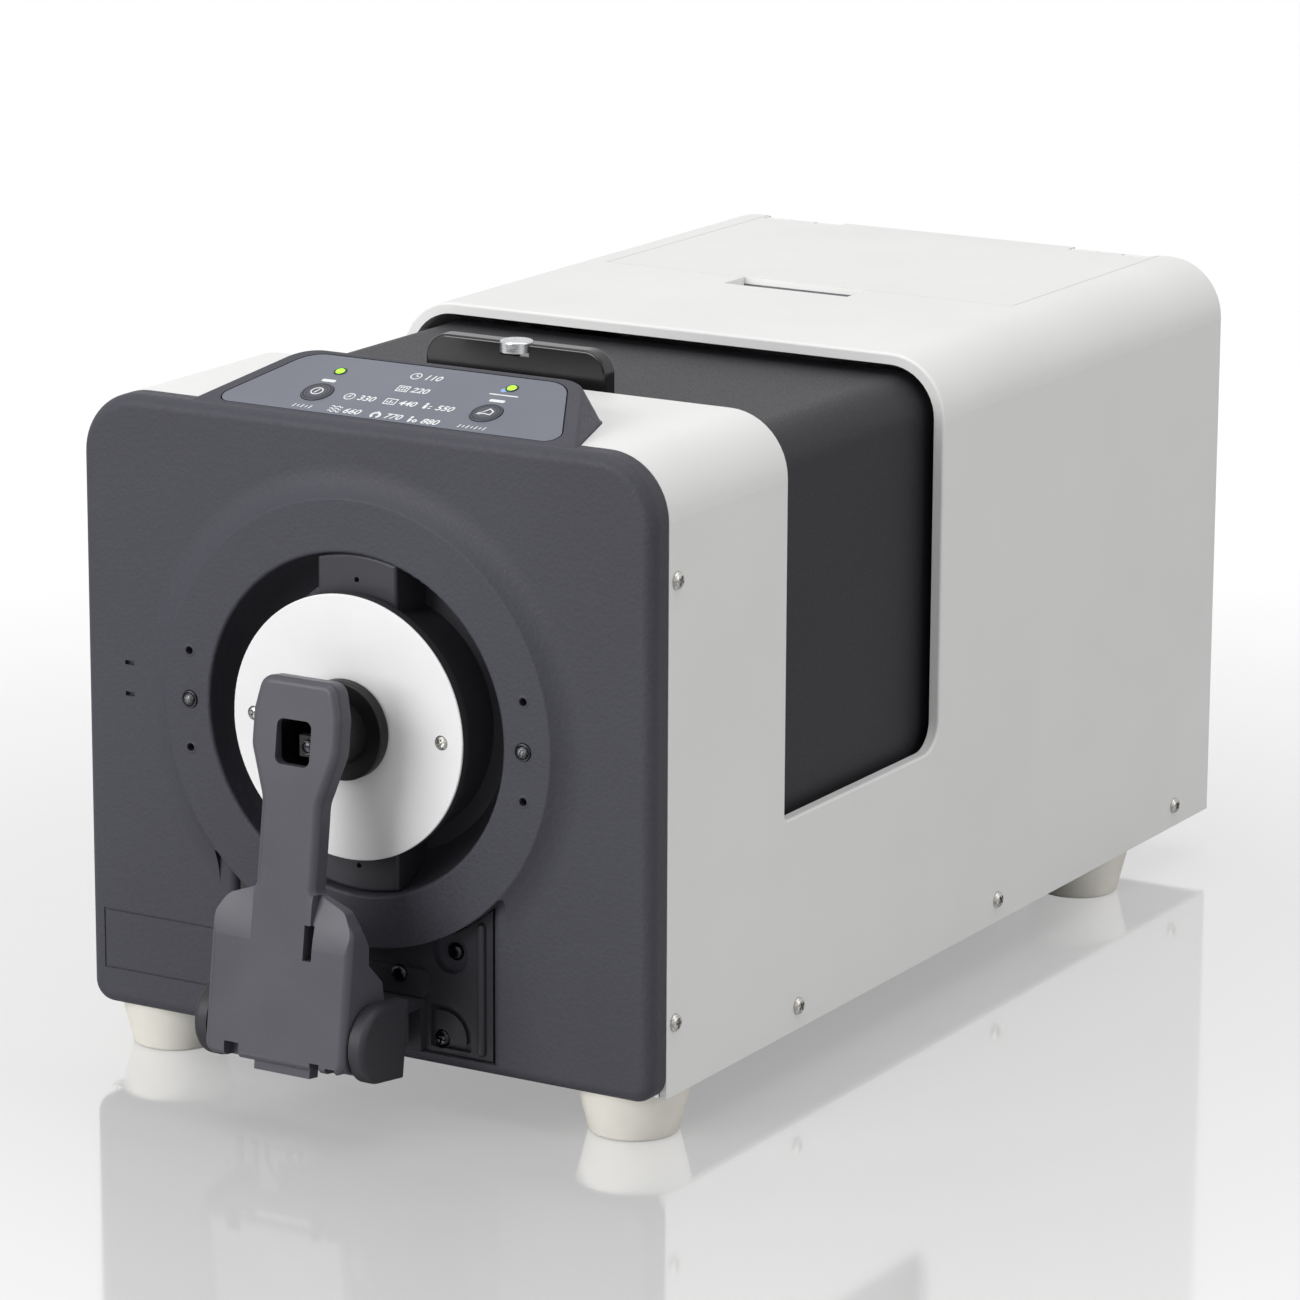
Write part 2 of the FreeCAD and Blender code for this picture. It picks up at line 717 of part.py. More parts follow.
def base_tray():
    front = PANEL_DEPTH + FIT_GAP
    back = REAR_BACK - FIT_GAP
    high = SIDE_LOW_Z + REAR_SCREW_RISE
    floor = box(-SEAT_HALF, SEAT_HALF, front, back, BASE, TRAY_TOP)
    wall = box(SEAT_HALF - SHEET, SEAT_HALF, SIDE_FRONT_Y + TONGUE_LENGTH, back, BASE, high)
    end = box(-SEAT_HALF, SEAT_HALF, back - SHEET, back, BASE, high)
    tray = joined([floor, end] + both_sides(wall) + board_standoffs())
    for seat, out in side_seats():
        tray = tray.cut(screw_hole(seat, out, SCREW_GRIP))
    for spot in foot_spots():
        tray = tray.cut(rod(SCREW_R + SCREW_PLAY, spot, spot + V(0, 0, TRAY_TOP + PAST)))
    for seat in rear_seats():
        tray = tray.cut(screw_hole(seat, V(0, 1, 0), SCREW_GRIP))
    return tray


def foot_spots():
    return [V(x, y, 0) for y in (FOOT_FRONT_Y, FOOT_REAR_Y) for x in (-FOOT_X, FOOT_X)]


def foot(spot):
    cone = Part.makeCone(FOOT_BASE_R, FOOT_TOP_R, FOOT_HEIGHT, spot)
    cone = rounded_edges(cone, FOOT_EDGE, lambda e: on_plane(e, 2, 0.0))
    cone = cone.cut(rod(FOOT_WELL_R, spot, spot + V(0, 0, FOOT_WELL)))
    return cone.cut(rod(SCREW_R + SCREW_PLAY, spot, spot + V(0, 0, FOOT_HEIGHT)))


def foot_screws():
    grip = FOOT_HEIGHT - FOOT_WELL + SHEET * 2
    return [screw(spot + V(0, 0, FOOT_WELL), V(0, 0, -1), grip) for spot in foot_spots()]


def ring_profile():
    # Concave flank, softened crease, flat ring, rounded lip, moat wall and floor, then the back.
    flank_r = (RING_FLANK ** 2 + RING_RISE ** 2) / (2 * RING_RISE)
    outer = RING_CREASE_R + RING_FLANK
    steep = math.asin(RING_FLANK / flank_r)
    flank_end = steep - RING_CREASE_SOFT / flank_r

    def flank(turn):
        return (outer - flank_r * math.sin(turn), flank_r * math.cos(turn) - flank_r)

    soft_r = RING_CREASE_SOFT / math.tan(steep / 2)
    sag = soft_r / math.cos(steep / 2) - soft_r
    crease = (RING_CREASE_R - sag * math.sin(steep / 2), -RING_RISE + sag * math.cos(steep / 2))
    flat_start = (RING_CREASE_R - RING_CREASE_SOFT, -RING_RISE)
    lip = RING_LIP * (1 - math.sqrt(0.5))
    bend = (RING_INNER_R - MOAT_BELLY, MOAT_DEPTH * 0.45)
    back_bend = (bend[0] + MOAT_WALL * 0.85, bend[1] + MOAT_WALL * 0.7)
    floor = MOAT_DEPTH + MOAT_WALL
    return [
        ((outer, 0.0), flank(flank_end / 2), flank(flank_end)),
        (flank(flank_end), crease, flat_start),
        (flat_start, (RING_INNER_R + RING_LIP, -RING_RISE)),
        ((RING_INNER_R + RING_LIP, -RING_RISE), (RING_INNER_R + lip, -RING_RISE + lip),
         (RING_INNER_R, -RING_RISE + RING_LIP)),
        ((RING_INNER_R, -RING_RISE + RING_LIP), bend, (MOAT_FLOOR_R, MOAT_DEPTH)),
        ((MOAT_FLOOR_R, MOAT_DEPTH), (PORT_HOLE_R, MOAT_DEPTH)),
        ((PORT_HOLE_R, MOAT_DEPTH), (PORT_HOLE_R, floor)),
        ((PORT_HOLE_R, floor), (MOAT_FLOOR_R + 1.0, floor)),
        ((MOAT_FLOOR_R + 1.0, floor), back_bend, (RING_INNER_R + MOAT_WALL, PANEL_WALL)),
        ((RING_INNER_R + MOAT_WALL, PANEL_WALL), (outer, PANEL_WALL)),
        ((outer, PANEL_WALL), (outer, 0.0)),
    ]


def accessory_spots():
    places = [(x, z) for x in (-ACCESSORY_X, ACCESSORY_X) for z in (-ACCESSORY_Z, ACCESSORY_Z)]
    return [V(x, -RING_RISE, RING_HEIGHT + z) for x, z in places]


def bracket_seats():
    # Screw seats of the hinge bracket: a small one on the step, one in a well and one in a pocket, each side.
    seats = []
    for side in (-1, 1):
        step_face = RECESS_DEEP - BRACKET_SHEET - SHEET
        pocket_floor = RECESS_DEEP - POCKET_FLOOR
        seats.append(V(side * SMALL_SCREW_X, step_face, HINGE_Z + SMALL_SCREW_RISE))
        seats.append(V(side * WELL_SCREW_X, WELL_DEEP, HINGE_Z + WELL_SCREW_RISE))
        seats.append(V(side * POCKET_SCREW_X, pocket_floor, HINGE_Z + POCKET_SCREW_RISE))
    return seats


def ring_rod(radius, y0, y1):
    return rod(radius, V(0, y0, RING_HEIGHT), V(0, y1, RING_HEIGHT))


def panel_recess():
    # Room of the bracket below the ring; its upright edges roll over onto the panel's face.
    half = RECESS_HALF
    wide = RECESS_HALF + RECESS_ROLL * 2
    front = -RING_RISE - PAST
    z = RECESS_FOOT
    corners = [V(-wide, front, z), V(wide, front, z), V(wide, 0, z), V(half, 0, z), V(half, RECESS_DEEP, z),
               V(-half, RECESS_DEEP, z), V(-half, 0, z), V(-wide, 0, z)]
    roll = RECESS_ROLL
    room = prism(corners, [0, 0, 0, roll, 0, 0, roll, 0], V(0, 0, RECESS_TOP - RECESS_FOOT))
    return room.cut(ring_rod(RING_CREASE_R, front - PAST, RECESS_DEEP + PAST))


def name_frame():
    x0 = -HALF + FRAME_SIDE
    z0 = FRAME_FOOT
    line = FRAME_LINE
    outer = box(x0, x0 + FRAME_WIDE, -PAST, FRAME_DEEP, z0, z0 + FRAME_TALL)
    return outer.cut(box(x0 + line, x0 + FRAME_WIDE - line, -PAST * 2, PAST, z0 + line, z0 + FRAME_TALL - line))


def front_panel():
    plate = body_section(0, 0, PANEL_DEPTH, BASE)
    plate = rounded_edges(plate, PANEL_EDGE, lambda e: on_plane(e, 1, 0.0))
    plate = plate.cut(body_section(PANEL_WALL, PANEL_WALL, PANEL_DEPTH + PAST, BASE + PANEL_WALL))
    inset = COVER_WALL + FIT_GAP
    tongue_end = PANEL_DEPTH + TONGUE_LENGTH
    tongue = arch(inset, PANEL_WALL, tongue_end, TONGUE_FOOT)
    tongue = tongue.cut(arch(inset + TONGUE_WALL, PANEL_WALL - PAST, tongue_end + PAST, TONGUE_FOOT - PAST))
    plate = plate.fuse(tongue).removeSplitter()
    plate = plate.cut(ring_rod(RING_INNER_R + MOAT_WALL, -PAST, PANEL_DEPTH))
    ring = turned(ring_profile(), RING_HEIGHT).common(ring_room(-RING_RISE, PANEL_WALL))
    plate = plate.fuse(ring.common(body_section(0, -RING_RISE, PANEL_WALL, BASE)))
    backing = box(-RECESS_HALF - PANEL_WALL, RECESS_HALF + PANEL_WALL, PANEL_WALL / 2,
                  PANEL_WALL + RECESS_BACKING, BASE + PANEL_WALL / 2, RECESS_TOP - RECESS_BACKING)
    plate = plate.fuse(backing.cut(ring_rod(RING_INNER_R + MOAT_WALL, -PAST, MOAT_DEPTH * 2)))
    plate = plate.cut(panel_recess())
    for spot in accessory_spots():
        plate = plate.cut(rod(ACCESSORY_R, spot - V(0, PAST, 0), spot + V(0, ACCESSORY_DEEP, 0)))
    for side in (-1, 1):
        start = V(side * ACCESSORY_X, -RING_RISE - 1, RING_HEIGHT)
        plate = plate.cut(rod(PLUNGER_R + SCREW_PLAY, start, start + V(0, ACCESSORY_DEEP, 0)))
    for seat in bracket_seats():
        if seat.y == WELL_DEEP:
            plate = plate.cut(rod(WELL_R, seat - V(0, WELL_DEEP, 0), seat))
        plate = plate.cut(screw_hole(seat, V(0, -1, 0), SCREW_GRIP))
    for rise in VENT_RISES:
        x0 = -HALF + VENT_SIDE - VENT_WIDE / 2
        z0 = RING_HEIGHT + rise - VENT_TALL / 2
        plate = plate.cut(box(x0, x0 + VENT_WIDE, -PAST, PANEL_WALL / 2, z0, z0 + VENT_TALL))
    plate = plate.cut(name_frame()).cut(membrane_pocket())
    for seat, out in side_seats():
        plate = plate.cut(screw_hole(seat, out, SCREW_GRIP))
    return plate.removeSplitter()


def ring_room(y0, y1):
    return ring_rod(RING_CREASE_R + RING_FLANK + PAST, y0, y1)


def port_bowl():
    # Dished rear part of the moat, which stands behind the panel.
    back = MOAT_DEPTH + MOAT_WALL
    return turned(ring_profile(), RING_HEIGHT).common(ring_room(PANEL_WALL, back))


def membrane_pocket():
    return Part.Face(membrane_outline(0, PAST)).extrude(CONSOLE_OUT * (-PAST - MEMBRANE_THICK))


def console_housing():
    hump = console_block(0, TOP - COVER_WALL, CONSOLE_EDGE)
    hump = hump.cut(box(-WIDTH, WIDTH, -WIDTH, PANEL_DEPTH + FIT_GAP, 0, TOP))
    hollow = console_block(CONSOLE_WALL, TOP - COVER_WALL - FIT_GAP / 2, 0)
    hump = hump.cut(hollow.cut(box(-WIDTH, WIDTH, -WIDTH, PANEL_DEPTH, 0, TOP * 2)))
    hump = hump.cut(membrane_pocket())
    for side in (-1, 1):
        hump = hump.cut(console_rod(KEY_HOLE_R, side * KEY_X, KEY_ALONG, -CONSOLE_RISE, 1))
        hump = hump.cut(console_rod(LED_R + SCREW_PLAY, side * LED_X, LED_ALONG[side], -LED_DEEP - SHEET, 1))
    return hump.removeSplitter()


def console_membrane():
    sheet = Part.Face(membrane_outline(MEMBRANE_GROOVE, -MEMBRANE_THICK))
    sheet = sheet.extrude(CONSOLE_OUT * MEMBRANE_THICK)
    for side in (-1, 1):
        sheet = sheet.cut(console_rod(KEY_R + KEY_GAP, side * KEY_X, KEY_ALONG, -PAST, PAST))
        sheet = sheet.cut(console_rod(LED_R + SCREW_PLAY, side * LED_X, LED_ALONG[side], -PAST, PAST))
    return sheet


def console_key(side):
    low = KEY_TRAVEL - MEMBRANE_THICK + KEY_REST
    cap = console_rod(KEY_R, side * KEY_X, KEY_ALONG, low, KEY_PROUD)
    stem = console_rod(KEY_STEM_R, side * KEY_X, KEY_ALONG, -MEMBRANE_THICK - CONSOLE_WALL, low)
    top = console_point(side * KEY_X, KEY_ALONG, KEY_PROUD)
    cap = rounded_edges(cap, KEY_EDGE, lambda e: e.CenterOfMass.isEqual(top, 1e-3))
    return cap.fuse(stem).removeSplitter()


def console_led(side):
    lamp = console_rod(LED_R, side * LED_X, LED_ALONG[side], -LED_DEEP, LED_PROUD)
    top = console_point(side * LED_X, LED_ALONG[side], LED_PROUD)
    return rounded_edges(lamp, KEY_EDGE, lambda e: e.CenterOfMass.isEqual(top, 1e-3))


def mask_carrier():
    back = MOAT_DEPTH + CARRIER_SPIGOT
    drum = ring_rod(CARRIER_R, -MASK_FACE + MASK_THICK, MOAT_DEPTH)
    spigot = ring_rod(PORT_HOLE_R - FIT_GAP, MOAT_DEPTH, back)
    tall = RING_INNER_R + RING_LIP
    tabs = box(-TAB_WIDTH / 2, TAB_WIDTH / 2, -TAB_FACE, MOAT_DEPTH, RING_HEIGHT - tall, RING_HEIGHT + tall)
    bend = (RING_INNER_R - MOAT_BELLY - FIT_GAP, MOAT_DEPTH * 0.45)
    room = turned([
        ((0.0, -TAB_FACE), (RING_INNER_R - FIT_GAP, -TAB_FACE)),
        ((RING_INNER_R - FIT_GAP, -TAB_FACE), bend, (MOAT_FLOOR_R - FIT_GAP, MOAT_DEPTH)),
        ((MOAT_FLOOR_R - FIT_GAP, MOAT_DEPTH), (0.0, MOAT_DEPTH)),
        ((0.0, MOAT_DEPTH), (0.0, -TAB_FACE)),
    ], RING_HEIGHT)
    tabs = rounded_edges(tabs.common(room), TAB_EDGE, lambda e: on_plane(e, 1, -TAB_FACE))
    carrier = joined([drum, spigot, tabs])
    carrier = carrier.cut(ring_rod(CARRIER_BORE, -MASK_FACE - PAST, back + PAST))
    for side in (-1, 1):
        peep = V(0, -TAB_FACE, RING_HEIGHT + side * (MASK_R + TAB_PEEP_OUT))
        carrier = carrier.cut(rod(TAB_PEEP_R, peep - V(0, PAST, 0), peep + V(0, TAB_PEEP_DEEP, 0)))
        carrier = carrier.cut(screw_hole(mask_seat(side), V(0, -1, 0), SCREW_GRIP + MASK_THICK))
    return carrier


def mask_seat(side):
    return V(side * MASK_SCREW_X, -MASK_FACE + SCREW_HEAD * 0.8, RING_HEIGHT)


def mask_disc(port, centre, facing):
    disc = rod(MASK_R, centre, centre - facing * MASK_THICK)
    disc = rounded_edges(disc, MASK_EDGE, lambda e: e.CenterOfMass.isEqual(centre, 1e-3))
    return disc.cut(Part.makeCone(port, CARRIER_BORE - CONSOLE_WALL, MASK_THICK, centre, facing * -1))


def target_mask():
    disc = mask_disc(MASK_PORT_R, V(0, -MASK_FACE, RING_HEIGHT), V(0, -1, 0))
    for side in (-1, 1):
        seat = mask_seat(side)
        disc = disc.cut(rod(MASK_SCREW_HEAD_R + SCREW_PLAY, seat, seat - V(0, PAST, 0)))
        disc = disc.cut(screw_hole(seat, V(0, -1, 0), SCREW_GRIP))
    return disc


def locating_plungers():
    plungers = []
    for side in (-1, 1):
        tip = V(side * ACCESSORY_X, -RING_RISE, RING_HEIGHT)
        ball = Part.makeSphere(PLUNGER_R * PLUNGER_BALL, tip)
        body = rod(PLUNGER_R, tip + V(0, ACCESSORY_DEEP - 1, 0), tip)
        plungers.append(body.fuse(ball).removeSplitter())
    return plungers


def d_shape(grow, y0, y1):
    # Upright D with one large upper corner, as the pocket at the right of the bracket.
    x0, x1 = POCKET_X[0] - grow, POCKET_X[1] + grow
    z0, z1 = POCKET_Z[0] - grow, POCKET_Z[1] + grow
    corners = [V(x0, y0, z0), V(x1, y0, z0), V(x1, y0, z1), V(x0, y0, z1)]
    radii = [POCKET_EDGE, POCKET_EDGE, POCKET_CORNER + grow, POCKET_EDGE]
    return prism(corners, radii, V(0, y1 - y0, 0))


def hinge_bracket():
    back = RECESS_DEEP
    face = back - BRACKET_SHEET
    half = RECESS_HALF - BRACKET_GAP
    sheet = box(-half, half, face, back, RECESS_FOOT + BRACKET_GAP, RECESS_TOP - BRACKET_GAP)
    sheet = sheet.cut(ring_rod(RING_CREASE_R + BRACKET_GAP, face - PAST, back + PAST))
    step = box(-STEP_HALF, STEP_HALF, face - SHEET, back, STEP_FOOT, STEP_TOP)
    step = rounded_edges(step, STEP_CORNER, on_step_corner)
    block = box(-BLOCK_HALF, BLOCK_HALF, BLOCK_FRONT, back, RECESS_FOOT + BRACKET_GAP, BLOCK_TOP)
    beam_back = BEAM_FRONT + BEAM_THICK
    beam = box(-BEAM_HALF, BEAM_HALF, BEAM_FRONT, beam_back, BEAM_FOOT, BEAM_TOP)
    bridge = box(-BLOCK_HALF, BLOCK_HALF, BEAM_FRONT, BLOCK_FRONT + PAST, BEAM_FOOT, BLOCK_TOP)
    cave = box(BLOCK_HALF - CAVE_DEEP, BLOCK_HALF + PAST, CAVE_Y[0], CAVE_Y[1], RECESS_FOOT, CAVE_TOP)
    block = block.cut(cave).cut(mirrored(cave))
    bracket = joined([sheet, step, block, beam, bridge] + both_sides(hinge_lug()) + both_sides(border_rib()))
    floor = back - POCKET_FLOOR
    for pocket in both_sides(d_shape(0, face - PAST, floor)):
        bracket = bracket.cut(pocket)
    boss = d_shape(-POCKET_WALL, floor - POCKET_RISE, back)
    bracket = joined([bracket] + both_sides(boss))
    pin = pin_end()
    bracket = bracket.cut(rod(HINGE_PIN_R, V(-pin, HINGE_Y, HINGE_Z), V(pin, HINGE_Y, HINGE_Z)))
    for seat in bracket_seats():
        if seat.y == WELL_DEEP:
            bracket = bracket.cut(rod(WELL_R, seat - V(0, WELL_DEEP + PAST, 0), seat))
        else:
            bracket = bracket.cut(rod(SCREW_HEAD_R + FIT_GAP, seat - V(0, PAST, 0), seat))
            bracket = bracket.cut(screw_hole(seat, V(0, -1, 0), SCREW_GRIP))
    return bracket


def border_rib():
    # Rounded rib beside the recess's right edge.
    back = RECESS_DEEP - BRACKET_SHEET
    front = back - RIB_RISE
    corners = [V(x, front, z) for x, z in ((RIB_X[0], RIB_Z[0]), (RIB_X[1], RIB_Z[0]), (RIB_X[1], RIB_Z[1]),
                                           (RIB_X[0], RIB_Z[1]))]
    rib = prism(corners, [RIB_CORNER] * 4, V(0, RIB_RISE + SHEET, 0))
    return rounded_edges(rib, RIB_EDGE, lambda e: on_plane(e, 1, front))


def on_step_corner(edge):
    return abs(edge.BoundBox.YLength - BRACKET_SHEET - SHEET) < 1e-4


def hinge_lug():
    # D-shaped lug at the right end of the pin, which leans with the arm.
    x0 = ARM_FLAP_HALF + ARM_SIDE_GAP
    x1 = x0 + LUG_WIDE
    lug = rod(LUG_R, V(x0, HINGE_Y, HINGE_Z), V(x1, HINGE_Y, HINGE_Z))
    corners = ((0, -LUG_R), (LUG_BACK, -LUG_R), (LUG_BACK, LUG_R), (0, LUG_R))
    back = polygon_face([arm_point(x0, out, along) for out, along in corners])
    lug = lug.fuse(back.extrude(V(LUG_WIDE, 0, 0)))
    return rounded_edges(lug.removeSplitter(), LUG_EDGE, lambda e: on_plane(e, 0, x1))


def pin_end():
    return ARM_FLAP_HALF + ARM_SIDE_GAP + LUG_WIDE - PIN_COVER


def hinge_pin():
    end = pin_end()
    return rod(HINGE_PIN_R, V(-end, HINGE_Y, HINGE_Z), V(end, HINGE_Y, HINGE_Z))


def bracket_screws():
    return [screw(seat, V(0, -1, 0), SCREW_GRIP) for seat in bracket_seats()]


def arm_point(x, out, along):
    # Point on the leaning arm: out is towards the panel from the pin, along is up the arm.
    return V(x, HINGE_Y + out * LEAN_COS + along * LEAN_SIN, HINGE_Z - out * LEAN_SIN + along * LEAN_COS)


ARM_OUT = arm_point(0, 1, 0) - arm_point(0, 0, 0)


def arm_slab(corners, front, deep):
    # Straight block in the arm's own directions, from the corners (x, along) given.
    return polygon_face([arm_point(x, front, along) for x, along in corners]).extrude(ARM_OUT * deep)


def on_arm_face(edge):
    points = [vertex.Point for vertex in edge.Vertexes] + [edge.CenterOfMass]
    return all(abs((point - arm_point(0, -ARM_FACE, 0)).dot(ARM_OUT)) < 1e-4 for point in points)


def arm_body(foot, deep):
    # The arm's outline, from the face back to the depth given.
    right = [(ARM_FLAP_HALF, -foot), (ARM_FLAP_HALF, ARM_FLAP_TOP),
             (ARM_SHOULDER_HALF, ARM_SHOULDER - ARM_SHOULDER_DROP), (ARM_NECK_HALF, ARM_SHOULDER),
             (ARM_NECK_HALF, ARM_REACH - ARM_NECK_DROP), (ARM_HEAD_HALF, ARM_REACH - ARM_HEAD_DROP),
             (ARM_HEAD_HALF, ARM_REACH + ARM_HEAD_WIDEST), (ARM_TOP_HALF, ARM_REACH + ARM_TOP_RISE)]
    left = [(-x, along) for x, along in reversed(right)]
    corners = [arm_point(x, -ARM_FACE, along) for x, along in right + left]
    return prism(corners, ARM_CORNERS + ARM_CORNERS[::-1], ARM_OUT * deep)


def shoulder_wedge():
    # Curve that takes the shoulder beside the neck back from the arm's face.
    x = ARM_NECK_HALF
    foot, top = ARM_SHOULDER_FOOT, ARM_SHOULDER
    start = arm_point(x, -ARM_FACE - ARM_SHOULDER_START, foot)
    bend = arm_point(x, -ARM_FACE + ARM_SHOULDER_FALL / 4, (foot + top) / 2)
    end = arm_point(x, -ARM_FACE + ARM_SHOULDER_FALL, top)
    front = -ARM_FACE - PAST
    sides = Part.makePolygon([end, arm_point(x, front, top), arm_point(x, front, foot), start])
    wedge = Part.Face(Part.Wire([Part.Arc(start, bend, end).toShape()] + sides.Edges))
    return wedge.extrude(V(ARM_FLAP_HALF, 0, 0))


def hinge_web():
    # Joins the flap to the hinge barrel behind it.
    near = -ARM_FACE + ARM_WEB_FRONT
    low = -ARM_FLAP_FOOT + SHEET
    x = -ARM_FLAP_HALF
    corners = ((near, low), (0, -ARM_BARREL_R)) + ARM_WEB + ((near, ARM_WEB[-1][1]),)
    web = polygon_face([arm_point(x, out, along) for out, along in corners])
    room = arm_body(ARM_FLAP_FOOT + ARM_BARREL_R, ARM_FACE + ARM_BARREL_R)
    return web.extrude(V(ARM_FLAP_HALF * 2, 0, 0)).common(room)


def arm_window():
    half = WINDOW_WIDE / 2
    low = ARM_REACH - WINDOW_TALL / 2
    high = ARM_REACH + WINDOW_TALL / 2
    front = -ARM_FACE - PAST
    corners = [arm_point(x, front, along) for x, along in ((-half, low), (half, low), (half, high), (-half, high))]
    window = prism(corners, [WINDOW_CORNER] * 4, ARM_OUT * (ARM_THICK + PAST))
    return window.common(box(-HALF, HALF, -DEPTH, PAST - HEAD_BORE_END, 0, TOP))


def sample_arm():
    wedge = shoulder_wedge()
    plate = rounded_edges(arm_body(ARM_FLAP_FOOT, ARM_THICK), ARM_EDGE, on_arm_face)
    plate = plate.cut(wedge).cut(mirrored(wedge))
    pin = V(ARM_FLAP_HALF, HINGE_Y, HINGE_Z)
    far = V(-ARM_FLAP_HALF, HINGE_Y, HINGE_Z)
    boss = ring_rod(STEM_R + ARM_BOSS, -HEAD_BORE_END, -ARM_BOSS_END)
    left, right = ARM_PLATE
    top = -ARM_FLAP_FOOT + PAST
    low = -ARM_FLAP_FOOT - ARM_PLATE_DROP
    foot_plate = arm_slab([(left, low), (right, low), (right, top), (left, top)],
                          -ARM_FACE + ARM_PLATE_BACK, ARM_PLATE_THICK)
    arm = joined([plate, rod(ARM_BARREL_R, far, pin), hinge_web(), boss, foot_plate])
    past = V(PAST, 0, 0)
    arm = arm.cut(rod(HINGE_PIN_R + PIN_PLAY, far - past, pin + past))
    arm = arm.cut(arm_window())
    arm = arm.cut(ring_rod(STEM_R + PIN_PLAY, -HEAD_BORE_END, 0))
    left, right, low, high = ARM_SLOT
    arm = arm.cut(arm_slab([(left, low), (right, low), (right, high), (left, high)],
                           -ARM_FACE - PAST, ARM_SLOT_DEEP + PAST))
    for left, right, tall in ARM_NICKS:
        low = -ARM_FLAP_FOOT - PAST
        high = -ARM_FLAP_FOOT + tall
        arm = arm.cut(arm_slab([(left, low), (right, low), (right, high), (left, high)],
                               -ARM_FACE - PAST, ARM_NICK_DEEP + PAST))
    return arm.removeSplitter()


def viewing_camera():
    wall = -HEAD_BORE_END
    low, high = [RING_HEIGHT + z for z in CAMERA_Z]
    block = box(CAMERA_X[0], CAMERA_X[1], wall, wall + CAMERA_DEEP, low, high)
    centre = V(sum(CAMERA_X) / 2, wall, (low + high) / 2)
    lens = rod(CAMERA_LENS_R, centre - V(0, CAMERA_LENS_DEEP, 0), centre)
    return block.fuse(lens).removeSplitter()


def sample_pad():
    face = -MASK_FACE - PAD_GAP
    back = face - PAD_THICK
    disc = ring_rod(PAD_R, back, face)
    disc = rounded_edges(disc, PAD_EDGE, lambda e: on_plane(e, 1, face) or on_plane(e, 1, back))
    stem = ring_rod(STEM_R, -STEM_END, back).cut(ring_rod(STEM_R - STEM_WALL, -STEM_END, back))
    return disc.fuse(stem).cut(ring_rod(PAD_BORE, -HEAD_BORE_END, 0)).removeSplitter()


def chamber_cover():
    outer = arch(SLIDER_INSET, SLIDER_FRONT, SLIDER_BACK, SLIDER_FOOT)
    inner = arch(SLIDER_INSET + SLIDER_WALL, SLIDER_FRONT - PAST, SLIDER_BACK + PAST, SLIDER_FOOT - PAST)
    cover = outer.cut(inner)
    for seat in handle_seats():
        cover = cover.cut(rod(SCREW_R + SCREW_PLAY, seat - V(0, 0, PAST), seat + V(0, 0, PAST)))
    return cover


def handle_seats():
    middle = HANDLE_Y + HANDLE_THICK / 2
    return [V(side * HANDLE_HALF * 0.6, middle, SLIDER_TOP - SLIDER_WALL) for side in (-1, 1)]


def cover_handle():
    low = SLIDER_TOP
    back = HANDLE_Y + HANDLE_THICK
    corners = [V(-HANDLE_HALF, HANDLE_Y, low), V(HANDLE_HALF, HANDLE_Y, low),
               V(HANDLE_HALF, HANDLE_Y, HANDLE_TOP), V(-HANDLE_HALF, HANDLE_Y, HANDLE_TOP)]
    plate = prism(corners, [0, 0, HANDLE_CORNER, HANDLE_CORNER], V(0, HANDLE_THICK, 0))
    plate = rounded_edges(plate, HANDLE_EDGE, on_handle_rim)
    flange = box(-HANDLE_HALF, HANDLE_HALF, HANDLE_Y, back + HANDLE_THICK, low, low + HANDLE_FLANGE)
    handle = plate.fuse(flange).removeSplitter()
    seat = latch_seat()
    handle = handle.cut(rod(LATCH_R + SCREW_PLAY, seat, seat + V(0, 0, LATCH_DEEP + PAST)))
    for spot in handle_seats():
        handle = handle.cut(rod(SCREW_R + SCREW_PLAY, spot, spot + V(0, 0, SLIDER_WALL + HANDLE_GRIP + 1)))
    return handle


def on_handle_rim(edge):
    on_face = on_plane(edge, 1, HANDLE_Y) or on_plane(edge, 1, HANDLE_Y + HANDLE_THICK)
    return on_face and edge.BoundBox.ZMax > SLIDER_TOP + 1


def latch_seat():
    return V(0, HANDLE_Y + LATCH_Y, HANDLE_TOP - LATCH_DEEP)


def latch_button():
    seat = latch_seat()
    top = HANDLE_TOP + LATCH_PROUD
    button = rod(LATCH_R, seat + V(0, 0, LATCH_TRAVEL + LATCH_REST), V(0, seat.y, top))
    return rounded_edges(button, LATCH_PROUD, lambda e: on_plane(e, 2, top))


def handle_screws():
    return [screw(seat, V(0, 0, -1), SLIDER_WALL + HANDLE_GRIP) for seat in handle_seats()]


def post_spots():
    front = BENCH_FRONT + POST_END
    back = BENCH_BACK - POST_END
    return [(x, y) for x in (-POST_X, POST_X) for y in (front, (front + back) / 2, back)]


def bench_plate():
    return box(-BENCH_HALF, BENCH_HALF, BENCH_FRONT, BENCH_BACK, BENCH_TOP - BENCH_THICK, BENCH_TOP)


def bench_posts():
    return [rod(POST_R, V(x, y, TRAY_TOP), V(x, y, BENCH_TOP - BENCH_THICK)) for x, y in post_spots()]


def cover_rails():
    low = SLIDER_HALF - SLIDER_WALL - RAIL_GAP
    high = SLIDER_HALF + RAIL_GAP
    rail = box(CHAMBER_HALF + FIT_GAP, BENCH_HALF, SLIDER_FRONT, BENCH_BACK, BENCH_TOP, RAIL_TOP)
    groove = box(low, high, SLIDER_FRONT - PAST, BENCH_BACK + PAST, SLIDER_FOOT - RAIL_GAP, RAIL_TOP + PAST)
    return both_sides(rail.cut(groove))


